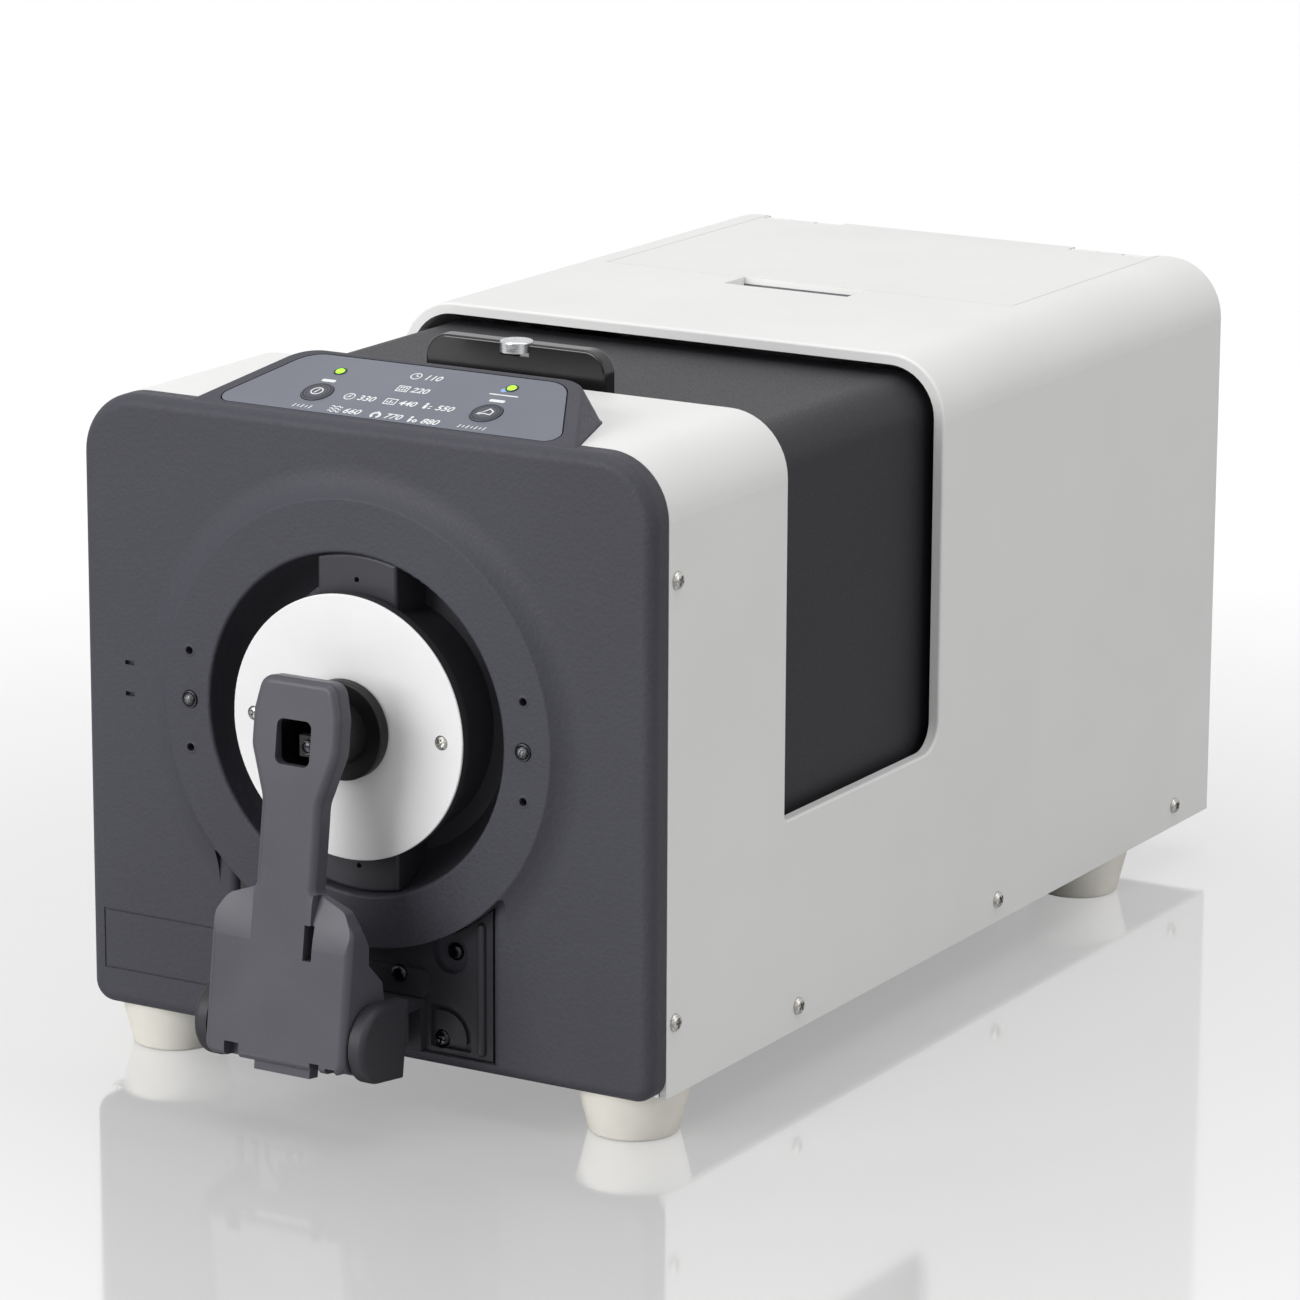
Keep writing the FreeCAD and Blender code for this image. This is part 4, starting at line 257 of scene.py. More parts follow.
def sphereCoating():
    # matt white coat of the integrating sphere
    look = coatingLook
    f = Finish("sphereCoating")
    grain = f.noise(look["grain"], detail=4.0, rough=0.7)
    f.set(colour=f.tinted(f.noise(look["cloud"]), look["shade"], look["colour"]))
    f.set(rough=look["rough"], specular=look["specular"])
    f.set(normal=f.bump(grain, look["deep"], look["strength"]))
    return f.material


metalLook = {"marks": 300.0, "darker": 0.86, "smoother": 0.06, "rougher": 0.08, "deep": 0.02, "strength": 0.4}


def machinedMetal(name, colour, rough, stretch):
    # metal with a drawn or turned brush mark along one axis
    look = metalLook
    f = Finish(name)
    marks = f.noise(look["marks"], detail=4.0, rough=0.65, vector=f.stretched(stretch))
    f.set(colour=f.tinted(marks, scaled(colour, look["darker"]), colour), metal=1.0)
    f.set(rough=f.spread(marks, rough - look["smoother"], rough + look["rougher"]))
    f.set(normal=f.bump(marks, look["deep"], look["strength"]))
    return f.material


plungerLook = {"colour": (150, 151, 154), "darker": 0.6, "grains": 2200.0, "grainAt": (0.1, 0.6),
               "rough": (0.22, 0.42), "deep": 0.25, "strength": 0.8}


def plungerSteel():
    # ground steel; its grains are painted lighter and darker, as painted glints where they catch the light
    # apart
    look = plungerLook
    f = Finish("plungerSteel")
    grains = f.cells(look["grains"])
    # painted glints: each grain's colour runs between the steel and a darker steel, standing in for light
    dark = scaled(look["colour"], look["darker"])
    f.set(colour=f.tinted(grains, look["colour"], dark, *look["grainAt"]), metal=1.0)
    f.set(rough=f.spread(grains, *look["rough"], *look["grainAt"]))
    f.set(normal=f.bump(grains, look["deep"], look["strength"]))
    return f.material


zincLook = {"colour": (188, 190, 192), "shade": (150, 153, 156), "flowers": 120.0, "rough": (0.34, 0.52)}


def zincSheet():
    # zinc plate with its frost flowers
    look = zincLook
    f = Finish("zincSheet")
    tone = f.node("ShaderNodeSeparateColor", None, {0: f.cells(look["flowers"], out="Color")})
    f.set(colour=f.mix(tone, linear(*look["shade"]), linear(*look["colour"])), metal=1.0)
    f.set(rough=f.spread(tone, *look["rough"], start=0.0, end=1.0))
    return f.material


footLook = {"colour": (238, 235, 226), "shade": (231, 228, 218), "cloud": 50.0, "grain": 1300.0,
            "rough": (0.55, 0.7), "deep": 0.04, "strength": 0.6, "specular": 0.35}


def footRubber():
    # cream rubber with a matt grain
    look = footLook
    f = Finish("creamRubber")
    grain = f.noise(look["grain"])
    f.set(colour=f.tinted(f.noise(look["cloud"]), look["shade"], look["colour"]))
    f.set(rough=f.spread(grain, *look["rough"]), specular=look["specular"])
    f.set(normal=f.bump(grain, look["deep"], look["strength"]))
    return f.material


filmLook = {"colour": (112, 115, 126), "shade": (104, 107, 118), "cloud": 16.0, "velvet": 2200.0,
            "rough": (0.36, 0.46), "deep": 0.02, "strength": 0.5, "specular": 0.45}


def membraneFilm():
    # printed keypad film with a fine velvet texture
    look = filmLook
    f = Finish("membraneFilm")
    velvet = f.noise(look["velvet"], rough=0.7)
    f.set(colour=f.tinted(f.noise(look["cloud"]), look["shade"], look["colour"]))
    f.set(rough=f.spread(velvet, *look["rough"]), specular=look["specular"])
    f.set(normal=f.bump(velvet, look["deep"], look["strength"]))
    return f.material


inkLook = {"fleck": 700.0, "step": -8, "smear": 300.0, "rough": (0.5, 0.6)}


def printedInk(name, colour):
    look = inkLook
    f = Finish(name)
    f.set(colour=f.tinted(f.noise(look["fleck"]), lifted(colour, look["step"]), colour))
    f.set(rough=f.spread(f.noise(look["smear"]), *look["rough"]))
    return f.material


ledLook = {"colour": (150, 232, 40), "darker": 0.9, "cloud": 600.0, "rough": 0.25, "power": 1.1}


def lampGlow():
    # lit lamp with a faint mottle
    look = ledLook
    f = Finish("greenLamp")
    f.set(colour=linear(*look["colour"]), rough=look["rough"], glowPower=look["power"])
    dark = scaled(look["colour"], look["darker"])
    f.set(glow=f.tinted(f.noise(look["cloud"], detail=1.0), look["colour"], dark))
    return f.material


glassLook = {"ior": 1.5, "smear": 80.0, "rougher": 0.03}


def clearGlass(name, colour, rough):
    look = glassLook
    f = Finish(name)
    f.set(colour=linear(*colour), clear=1.0, ior=look["ior"])
    f.set(rough=f.spread(f.noise(look["smear"]), rough, rough + look["rougher"]))
    return f.material


gratingLook = {"half": 22.0, "mirror": (210, 210, 215), "mirrorShare": 0.65, "smear": 200.0,
               "rough": (0.12, 0.18),
               "stops": [(0.0, (0.35, 0.2, 0.7)), (0.3, (0.2, 0.5, 0.8)), (0.55, (0.3, 0.75, 0.4)),
                         (0.78, (0.85, 0.75, 0.25)), (1.0, (0.8, 0.25, 0.2))]}


def gratingRuling():
    # ruled mirror: a painted reflection of diffracted light, a rainbow that runs through the spectrum across
    # the block
    look = gratingLook
    f = Finish("gratingRuling")
    across = f.spread(f.axis("X"), 0.0, 1.0, -look["half"] * mm, look["half"] * mm)
    # painted reflection: the spectrum is laid into the colour across the block, over the mirror's own colour
    rainbow = f.node("ShaderNodeValToRGB", {"stops": look["stops"]}, {0: across})
    f.set(colour=f.mix(look["mirrorShare"], rainbow, linear(*look["mirror"])), metal=1.0)
    f.set(rough=f.spread(f.noise(look["smear"]), *look["rough"]))
    return f.material


boardLook = {"mask": (28, 84, 56), "track": (62, 122, 78), "runs": 260.0, "wide": 0.08, "smear": 120.0,
             "rough": (0.3, 0.42), "deep": 0.04, "strength": 0.7, "specular": 0.5}


def circuitBoard():
    # green board with copper runs under its mask
    look = boardLook
    f = Finish("circuitBoard")
    track = f.cells(look["runs"], "DISTANCE_TO_EDGE") < look["wide"]
    f.set(colour=f.mix(track, linear(*look["mask"]), linear(*look["track"])), specular=look["specular"])
    f.set(rough=f.spread(f.noise(look["smear"]), *look["rough"]))
    f.set(normal=f.bump(track, look["deep"], look["strength"]))
    return f.material


# plastics are given a colour, a shade, a roughness and a share of specks; metals a brush stretch last
finishes = {
    "shell": shellPaint(),
    "panel": grainedPlastic("panelPlastic", (70, 70, 78), (60, 60, 67), cell=560.0, deep=0.28, rough=0.5),
    "slider": grainedPlastic("sliderPlastic", (46, 46, 50), (40, 40, 44), cell=900.0, deep=0.08, rough=0.46),
    "bowl": glossPlastic("bowlPlastic", (62, 62, 68), 0.32),
    "arm": satinPlastic("armPlastic", (79, 79, 86), (72, 72, 79), 0.36, 0.3),
    "carrier": satinPlastic("carrierPlastic", (60, 60, 66), (53, 53, 58), 0.45, 0.2),
    "bracket": satinPlastic("bracketPlastic", (50, 50, 55), (44, 44, 48), 0.48, 0.2),
    "pad": satinPlastic("padRubber", (28, 28, 30), (22, 22, 24), 0.42),
    "gloss": glossPlastic("glossBlack", (15, 15, 17), 0.12),
    "membrane": membraneFilm(),
    "key": satinPlastic("keyCap", (82, 84, 93), (76, 78, 87), 0.4),
    "keyRing": satinPlastic("keyRing", (42, 43, 48), (36, 37, 42), 0.4),
    "led": lampGlow(),
    "mask": maskFinish(),
    "plainMask": satinPlastic("spareMaskWhite", (238, 238, 238), (230, 230, 231), 0.55),
    "sphere": sphereCoating(),
    "screw": machinedMetal("screwNickel", (204, 202, 197), 0.28, (1.0, 1.0, 6.0)),
    "blackScrew": machinedMetal("screwBlack", (58, 58, 62), 0.24, (1.0, 1.0, 6.0)),
    "silver": machinedMetal("silverKnob", (226, 227, 230), 0.24, (1.0, 1.0, 9.0)),
    "aluminium": machinedMetal("aluminium", (196, 198, 202), 0.34, (1.0, 30.0, 1.0)),
    "anodised": machinedMetal("blackAnodised", (44, 44, 48), 0.4, (1.0, 30.0, 1.0)),
    "zinc": zincSheet(),
    "cream": footRubber(),
    "lens": glossPlastic("lensGlass", (16, 18, 30), 0.03),
    "plunger": plungerSteel(),
    "glass": clearGlass("opticalGlass", (240, 246, 248), 0.02),
    "lampGlass": clearGlass("lampGlass", (236, 240, 246), 0.03),
    "grating": gratingRuling(),
    "board": circuitBoard(),
    "tray": satinPlastic("trayPlastic", (120, 121, 124), (111, 112, 115), 0.5, 0.2),
    "connector": satinPlastic("connectorBlack", (30, 30, 32), (24, 24, 26), 0.5),
    "white": printedInk("whiteInk", (233, 234, 236)),
    "blue": printedInk("blueInk", (150, 185, 226)),
}

nodeFinish = {
    "shell": ("main_cover", "access_lid", "rear_panel", "lid_hinge_brackets"),
    "panel": ("front_panel", "console_housing"),
    "bowl": ("port_bowl",),
    "slider": ("chamber_cover",),
    "arm": ("sample_arm",),
    "carrier": ("mask_carrier",),
    "bracket": ("hinge_bracket",),
    "pad": ("sample_pad",),
    "gloss": ("cover_handle",),
    "membrane": ("console_membrane",),
    "key": ("power_key", "measure_key"),
    "led": ("console_leds",),
    "mask": ("target_mask",),
    "plainMask": ("spare_mask",),
    "sphere": ("sphere_front_half", "sphere_rear_half"),
    "screw": ("mask_screws", "case_screws", "foot_screws", "handle_screws", "sphere_screws"),
    "silver": ("latch_button", "hinge_pin"),
    "plunger": ("locating_plungers",),
    "blackScrew": ("bracket_screws",),
    "aluminium": ("bench_posts", "sphere_stand", "bench_plate"),
    "anodised": ("chamber_front_wall", "chamber_rear_wall", "chamber_floor", "lens_barrel",
                 "spectrograph_case", "cover_rails"),
    "zinc": ("base_tray", "lamp_housing", "power_supply"),
    "cream": ("foot_front_left", "foot_front_right", "foot_rear_left", "foot_rear_right"),
    "glass": ("objective_lens",),
    "lampGlass": ("xenon_lamp",),
    "grating": ("grating",),
    "board": ("detector_board", "main_board"),
    "tray": ("storage_tray",),
    "connector": ("viewing_camera", "power_inlet", "switch_frame", "power_rocker", "usb_socket",
                  "serial_socket", "fan_frame", "fan_rotor"),
}


def dress(piece, finishName):
    piece.data.materials.clear()
    piece.data.materials.append(finishes[finishName])


for nodeFinishName, members in nodeFinish.items():
    for member in members:
        dress(nodes[member], nodeFinishName)
print("finishes:", len(finishes))


class Sheet:
    # a flat place on the object: its middle, its two directions and the way out of it
    def __init__(self, middle, right, up):
        self.middle = middle
        self.right = right.normalized()
        self.out = self.right.cross(up).normalized()
        self.up = self.out.cross(self.right)

    def at(self, x, y, lift=0.0):
        return self.middle + (self.right * x + self.up * y + self.out * lift) * mm


def boxOf(places):
    low = Vector([min(place[i] for place in places) for i in range(3)])
    high = Vector([max(place[i] for place in places) for i in range(3)])
    return low, high


def addPiece(name, mesh, body, finishName):
    piece = bpy.data.objects.new(name, mesh)
    scene.collection.objects.link(piece)
    dress(piece, finishName)
    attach(piece, body)
    return piece


def meshFrom(bm, name, smooth=False):
    bmesh.ops.recalc_face_normals(bm, faces=bm.faces)
    for face in bm.faces:
        face.smooth = smooth
    for edge in bm.edges:
        edge.smooth = len(edge.link_faces) == 2 and edge.calc_face_angle() < sharpAngle
    mesh = bpy.data.meshes.new(name)
    bm.to_mesh(mesh)
    bm.free()
    return mesh


def ringStrip(middle, inner, outer, start=0.0, end=360.0, steps=40):
    # quads of a ring, or of an arc of one
    x, y = middle
    turns = [math.radians(start + (end - start) * i / steps) for i in range(steps + 1)]
    rays = [(math.cos(turn), math.sin(turn)) for turn in turns]
    return [[(x + c0 * inner, y + s0 * inner), (x + c0 * outer, y + s0 * outer),
             (x + c1 * outer, y + s1 * outer), (x + c1 * inner, y + s1 * inner)]
            for (c0, s0), (c1, s1) in zip(rays, rays[1:])]


def discFill(middle, radius, steps=28):
    x, y = middle
    turns = [math.tau * i / steps for i in range(steps)]
    return [[(x + radius * math.cos(turn), y + radius * math.sin(turn)) for turn in turns]]


# a bar's corner cut is a share of its thin side; a mitre longer than its limit is drawn in
strokeLook = {"cornerCut": 0.22, "mitreLimit": 0.4, "weld": 0.004}


def inkBar(middle, wide, tall, turn=0.0):
    # a bar with its corners cut
    x, y = middle
    a, b, cut = wide / 2, tall / 2, min(wide, tall) * strokeLook["cornerCut"]
    c, s = math.cos(math.radians(turn)), math.sin(math.radians(turn))
    corners = [(-a + cut, -b), (a - cut, -b), (a, -b + cut), (a, b - cut), (a - cut, b), (-a + cut, b),
               (-a, b - cut), (-a, -b + cut)]
    return [[(x + u * c - v * s, y + u * s + v * c) for u, v in corners]]


def inkLine(points, wide, closed=False):
    # a drawn line of even width, mitred at its corners
    count = len(points)
    sides = []
    for i, here in enumerate(points):
        before = points[i - 1] if closed or i > 0 else here
        after = points[(i + 1) % count] if closed or i < count - 1 else here
        a = (Vector(here) - Vector(before)).normalized() if before != here else None
        b = (Vector(after) - Vector(here)).normalized() if after != here else None
        a, b = a or b, b or a
        mitre = Vector((-(a.y + b.y), a.x + b.x)).normalized()
        reach = wide / 2 / max(mitre.dot(Vector((-a.y, a.x))), strokeLook["mitreLimit"])
        sides.append((Vector(here) + mitre * reach, Vector(here) - mitre * reach))
    pairs = list(zip(sides, sides[1:] + sides[:1] if closed else sides[1:]))
    return [[tuple(p[0]), tuple(p[1]), tuple(q[1]), tuple(q[0])] for p, q in pairs]


def pressInk(name, sheet, faces, body, finishName, lift=0.03, thick=0.06):
    # flat shapes laid on a sheet as a thin closed film
    bm = bmesh.new()
    for face in faces:
        bm.faces.new([bm.verts.new(sheet.at(x, y, lift)) for x, y in face])
    bmesh.ops.remove_doubles(bm, verts=bm.verts, dist=strokeLook["weld"] * mm)
    raised = bmesh.ops.extrude_face_region(bm, geom=bm.faces[:])
    risen = [item for item in raised["geom"] if isinstance(item, bmesh.types.BMVert)]
    bmesh.ops.translate(bm, verts=risen, vec=sheet.out * thick * mm)
    return addPiece(name, meshFrom(bm, name), body, finishName)


def capTop(node, out, rimDeep=0.02):
    # middle of the face of a node that looks along out
    places = [vertex.co for vertex in nodes[node].data.vertices]
    far = max(place.dot(out) for place in places)
    low, high = boxOf([place for place in places if place.dot(out) > far - rimDeep * mm])
    return (low + high) / 2


def consoleSheet():
    # the key film: across through both keys, and up its slope
    film = nodes["console_membrane"].data
    film.calc_loop_triangles()
    upward = [triangle for triangle in film.loop_triangles if triangle.normal.z > 0.5]
    broad = max(upward, key=lambda triangle: triangle.area)
    out = broad.normal.copy()
    left, right = capTop("power_key", out), capTop("measure_key", out)
    middle = (left + right) / 2
    middle -= out * (middle - film.vertices[broad.vertices[0]].co).dot(out)
    across = right - left
    return Sheet(middle, across, out.cross(across))


# places are across from the middle and up from the row of keys, in millimetres
consoleLook = {
    "pictograms": {"clock": (-5.4, 20.6), "grid": (-5.3, 10.2), "dial": (-24.0, -0.2), "chart": (-4.8, -0.2),
                   "person": (12.6, -0.4), "waves": (-24.3, -10.8), "drop": (-5.0, -10.8),
                   "pair": (12.2, -11.2)},
    "half": 2.5, "line": 0.5,
    "captionStep": 110, "captionX": 7.9, "captionY": -0.2, "numeral": 5.2, "bold": 0.09, "slant": 0.18,
    "bars": ((-39.8, 9.4, 6.4, 1.9), (38.6, 9.8, 7.0, 1.9), (38.8, 14.5, 13.2, 0.75)),
    "spot": (36.9, 18.2, 1.5), "spotLift": 0.02,
    "keyX": 39.4, "tickY": -11.3, "tickCounts": {-1: 5, 1: 7}, "tickGap": 1.9, "tickWide": 0.5,
    "tickTalls": (2.5, 1.55), "tickTurn": -14.0,
}


def digitFaces(text, middle):
    # plain numerals, as flat faces about a middle
    curve = bpy.data.curves.new("numerals", "FONT")
    curve.body = text
    curve.size = consoleLook["numeral"]
    curve.offset = consoleLook["bold"]
    curve.shear = consoleLook["slant"]
    curve.align_x = "CENTER"
    curve.align_y = "CENTER"
    holder = bpy.data.objects.new("numerals", curve)
    scene.collection.objects.link(holder)
    seen = holder.evaluated_get(bpy.context.evaluated_depsgraph_get())
    mesh = bpy.data.meshes.new_from_object(seen)
    places = [(vertex.co.x + middle[0], vertex.co.y + middle[1]) for vertex in mesh.vertices]
    faces = [[places[i] for i in polygon.vertices] for polygon in mesh.polygons]
    bpy.data.objects.remove(holder)
    bpy.data.curves.remove(curve)
    bpy.data.meshes.remove(mesh)
    return faces


def pictogram(kind, middle, half, line):
    # one sign, drawn in shares of its half size
    thin = line / half

    def at(u, v):
        return middle[0] + half * u, middle[1] + half * v

    def bar(u, v, wide, tall, turn=0.0):
        return inkBar(at(u, v), half * wide, half * tall, turn)

    def disc(u, v, radius):
        return discFill(at(u, v), half * radius)

    def ring(u, v, inner, outer, *ends):
        return ringStrip(at(u, v), half * inner, half * outer, *ends)

    def border():
        return inkLine([at(-1, -0.8), at(1, -0.8), at(1, 0.8), at(-1, 0.8)], line, True)

    if kind == "clock":
        return ring(0, 0, 1 - thin, 1) + bar(0, 0.28, thin, 0.75) + bar(0.22, 0, 0.6, thin)
    if kind == "grid":
        return border() + [cell for column in (-0.52, 0, 0.52) for row in (-0.32, 0.32)
                           for cell in bar(column, row, 0.34, 0.4)]
    if kind == "dial":
        return ring(0, 0, 1 - thin, 1) + bar(-0.1, 0.1, 1.3, thin, 52.0) + disc(0, 0, thin)
    if kind == "chart":
        return border() + [column for u, tall in ((-0.5, 0.6), (0, 0.9), (0.5, 0.4))
                           for column in bar(u, tall / 2 - 0.45, thin * 1.3, tall)]
    if kind == "person":
        return (disc(-0.4, 0.72, 0.3) + bar(-0.4, -0.2, 0.62, 1.05) + bar(0.5, 0.1, 0.62, thin)
                + bar(0.5, -0.5, 0.62, thin))
    if kind == "waves":
        steps = 12
        return [piece for row in (-0.6, 0.1, 0.8)
                for piece in inkLine([at(2.2 * i / steps - 1.1, row + 0.2 * math.sin(i * math.pi / 3))
                                      for i in range(steps + 1)], line)]
    if kind == "drop":
        return ring(0, -0.2, 0.5, 0.95, -60.0, 240.0) + disc(0, 0.75, 0.22)
    return disc(-0.45, 0.7, 0.28) + bar(-0.45, -0.25, 0.5, 1.1) + ring(0.5, -0.3, 0.18, 0.45)


def printConsole():
    look = consoleLook
    ink = []
    for number, (kind, (x, y)) in enumerate(look["pictograms"].items(), 1):
        ink += pictogram(kind, (x, y), look["half"], look["line"])
        ink += digitFaces(str(number * look["captionStep"]), (x + look["captionX"], y + look["captionY"]))
    for x, y, wide, tall in look["bars"]:
        ink += inkBar((x, y), wide, tall)
    for side, count in look["tickCounts"].items():
        for i in range(count):
            x = side * look["keyX"] + (i - (count - 1) / 2) * look["tickGap"]
            ink += inkBar((x, look["tickY"]), look["tickWide"], look["tickTalls"][i % 2], look["tickTurn"])
    sheet = consoleSheet()
    pressInk("consolePrint", sheet, ink, "housing", "white")
    x, y, radius = look["spot"]
    pressInk("lampSpot", sheet, discFill((x, y), radius), "housing", "blue", look["spotLift"])
    return sheet


# the arrow and its dot are in shares of the sign's half size
keyLook = {"rings": ((5.3, 6.1), (4.25, 4.55)), "ringSteps": 72, "ringLift": 0.01, "ringThick": 0.04,
           "sign": 2.7, "line": 0.55, "signLift": 0.02, "signThick": 0.05,
           "powerBar": {"middle": (0, 0.1), "wide": 0.605, "tall": 3.105, "turn": -20.0},
           "arrow": ((-1.15, -0.75), (-0.1, -0.45), (0.95, -0.6), (1.05, 0.35), (0.2, 0.95), (-0.35, 0.1)),
           "dot": (-0.85, -0.55), "dotRadius": 0.3}


def dressKeys(sheet):
    look = keyLook
    half, line = look["sign"], look["line"]
    powerSign = ringStrip((0, 0), half - line, half) + inkBar(**look["powerBar"])
    arrow = [(half * u, half * v) for u, v in look["arrow"]]
    dotX, dotY = look["dot"]
    measureSign = inkLine(arrow, line, True) + discFill((half * dotX, half * dotY), half * look["dotRadius"])
    for node, body, sign in (("power_key", "left_key", powerSign), ("measure_key", "right_key", measureSign)):
        cap = Sheet(capTop(node, sheet.out), sheet.right, sheet.up)
        rings = [quad for inner, outer in look["rings"]
                 for quad in ringStrip((0, 0), inner, outer, steps=look["ringSteps"])]
        pressInk(node + "Rings", cap, rings, body, "keyRing", look["ringLift"], look["ringThick"])
        pressInk(node + "Sign", cap, sign, body, "white", look["signLift"], look["signThick"])


dressKeys(printConsole())
print("console printed")


# the recess's length and width are shares of the head's radius
screwLook = {"headRadius": 3.6, "headHeight": 2.0, "headSides": 40, "headRings": 8, "shoulder": 3.0,
             "crown": 0.42, "recessLong": 1.16, "recessWide": 0.27, "recessDeep": 1.15, "shankRadius": 1.9,
             "shankLength": 7.0, "shankSides": 20, "seed": 7, "weld": 0.01, "end": 0.3}


def joinedSets(bm):
    # the mesh's vertices, one list for each solid
    left = set(bm.verts)
    while left:
        reached = [left.pop()]
        for vertex in reached:
            for edge in vertex.link_edges:
                other = edge.other_vert(vertex)
                if other in left:
                    left.remove(other)
                    reached.append(other)
        yield reached


def screwSpots(node):
    # seat, way out, length and head radius of each screw of a CAD node, in metres
    bm = bmesh.new()
    bm.from_mesh(nodes[node].data)
    bmesh.ops.remove_doubles(bm, verts=bm.verts, dist=screwLook["weld"] * mm)
    spots = []
    for vertices in joinedSets(bm):
        places = [vertex.co for vertex in vertices]
        low, high = boxOf(places)
        axis = max(range(3), key=lambda i: (high - low)[i])
        middle = (low + high) / 2
        length = (high - low)[axis]

        def radiusAt(end, reach):
            near = [place - middle for place in places if abs(place[axis] - end) < reach]
            return max(sum(offset[i] ** 2 for i in range(3) if i != axis) for offset in near) ** 0.5

        ends = [radiusAt(end, screwLook["end"] * mm) for end in (low[axis], high[axis])]
        out = Vector((0.0, 0.0, 0.0))
        out[axis] = 1.0 if ends[1] > ends[0] else -1.0
        seat = middle.copy()
        seat[axis] = high[axis] if out[axis] > 0 else low[axis]
        radius = radiusAt(seat[axis], length)
        spots.append((seat - out * screwLook["headHeight"] * mm, out, length, radius))
    bm.free()
    return sorted(spots, key=lambda spot: tuple(spot[0]))


class Tree:
    # a Geometry Nodes tree, with one method that adds a node
    def __init__(self, name, inputs):
        self.group = bpy.data.node_groups.new(name, "GeometryNodeTree")
        self.keys = {}
        self.group.interface.new_socket("Geometry", in_out="INPUT", socket_type="NodeSocketGeometry")
        for label, (kind, value) in inputs.items():
            socket = self.group.interface.new_socket(label, in_out="INPUT", socket_type="NodeSocket" + kind)
            self.keys[label] = socket.identifier
            if value is not None:
                socket.default_value = value
        self.group.interface.new_socket("Geometry", in_out="OUTPUT", socket_type="NodeSocketGeometry")
        self.source = self.group.nodes.new("NodeGroupInput")
        self.result = self.group.nodes.new("NodeGroupOutput")

    def given(self, label):
        return self.source.outputs[label]

    def node(self, kind, settings=None, sockets=None, out=0):
        made = self.group.nodes.new(kind)
        for key, value in (settings or {}).items():
            setattr(made, key, value)
        for key, value in (sockets or {}).items():
            for each in value if isinstance(value, list) else [value]:
                if isinstance(each, bpy.types.NodeSocket):
                    self.group.links.new(each, made.inputs[key])
                else:
                    made.inputs[key].default_value = each
        return made.outputs[out]

    def maths(self, operation, a, b):
        return self.node("ShaderNodeMath", {"operation": operation}, {0: a, 1: b})

    def times(self, a, b):
        return self.maths("MULTIPLY", a, b)

    def joined(self, x, y, z):
        return self.node("ShaderNodeCombineXYZ", None, {"X": x, "Y": y, "Z": z})

    def finish(self, socket):
        self.group.links.new(socket, self.result.inputs[0])
        return self.group


def screwHead(tree):
    # a drum drawn in towards its top, with a cross recess cut into it
    look = screwLook
    radius, height = tree.given("Head Radius"), tree.given("Head Height")
    drum = tree.node("GeometryNodeMeshCylinder", None,
                     {"Vertices": look["headSides"], "Side Segments": look["headRings"], "Radius": radius,
                      "Depth": height})
    spot = tree.node("GeometryNodeInputPosition")
    x, y, z = [tree.node("ShaderNodeSeparateXYZ", None, {0: spot}, out) for out in range(3)]
    level = tree.maths("MAXIMUM", tree.maths("ADD", tree.maths("DIVIDE", z, height), 0.5), 0.0)
    drawnIn = tree.times(tree.maths("POWER", level, look["shoulder"]), look["crown"])
    width = tree.maths("SUBTRACT", 1.0, drawnIn)
    domed = tree.joined(tree.times(x, width), tree.times(y, width), tree.times(level, height))
    head = tree.node("GeometryNodeSetPosition", None, {"Geometry": drum, "Position": domed})
    size = tree.joined(tree.times(radius, look["recessLong"]), tree.times(radius, look["recessWide"]),
                       look["recessDeep"] * 2 * mm)
    blade = tree.node("GeometryNodeMeshCube", None, {"Size": size})
    for turn in (0.0, math.pi / 2):
        turned = tree.node("GeometryNodeTransform", None, {
            "Geometry": blade, "Translation": tree.joined(0.0, 0.0, height), "Rotation": (0.0, 0.0, turn)})
        head = tree.node("GeometryNodeMeshBoolean", {"operation": "DIFFERENCE", "solver": "EXACT"},
                         {"Mesh 1": head, "Mesh 2": turned})
    return head


def screwShank(tree):
    length = tree.given("Shank Length")
    rod = tree.node("GeometryNodeMeshCylinder", None,
                    {"Vertices": screwLook["shankSides"], "Radius": tree.given("Shank Radius"),
                     "Depth": length})
    return tree.node("GeometryNodeTransform", None,
                     {"Geometry": rod, "Translation": tree.joined(0.0, 0.0, tree.times(length, -0.5))})


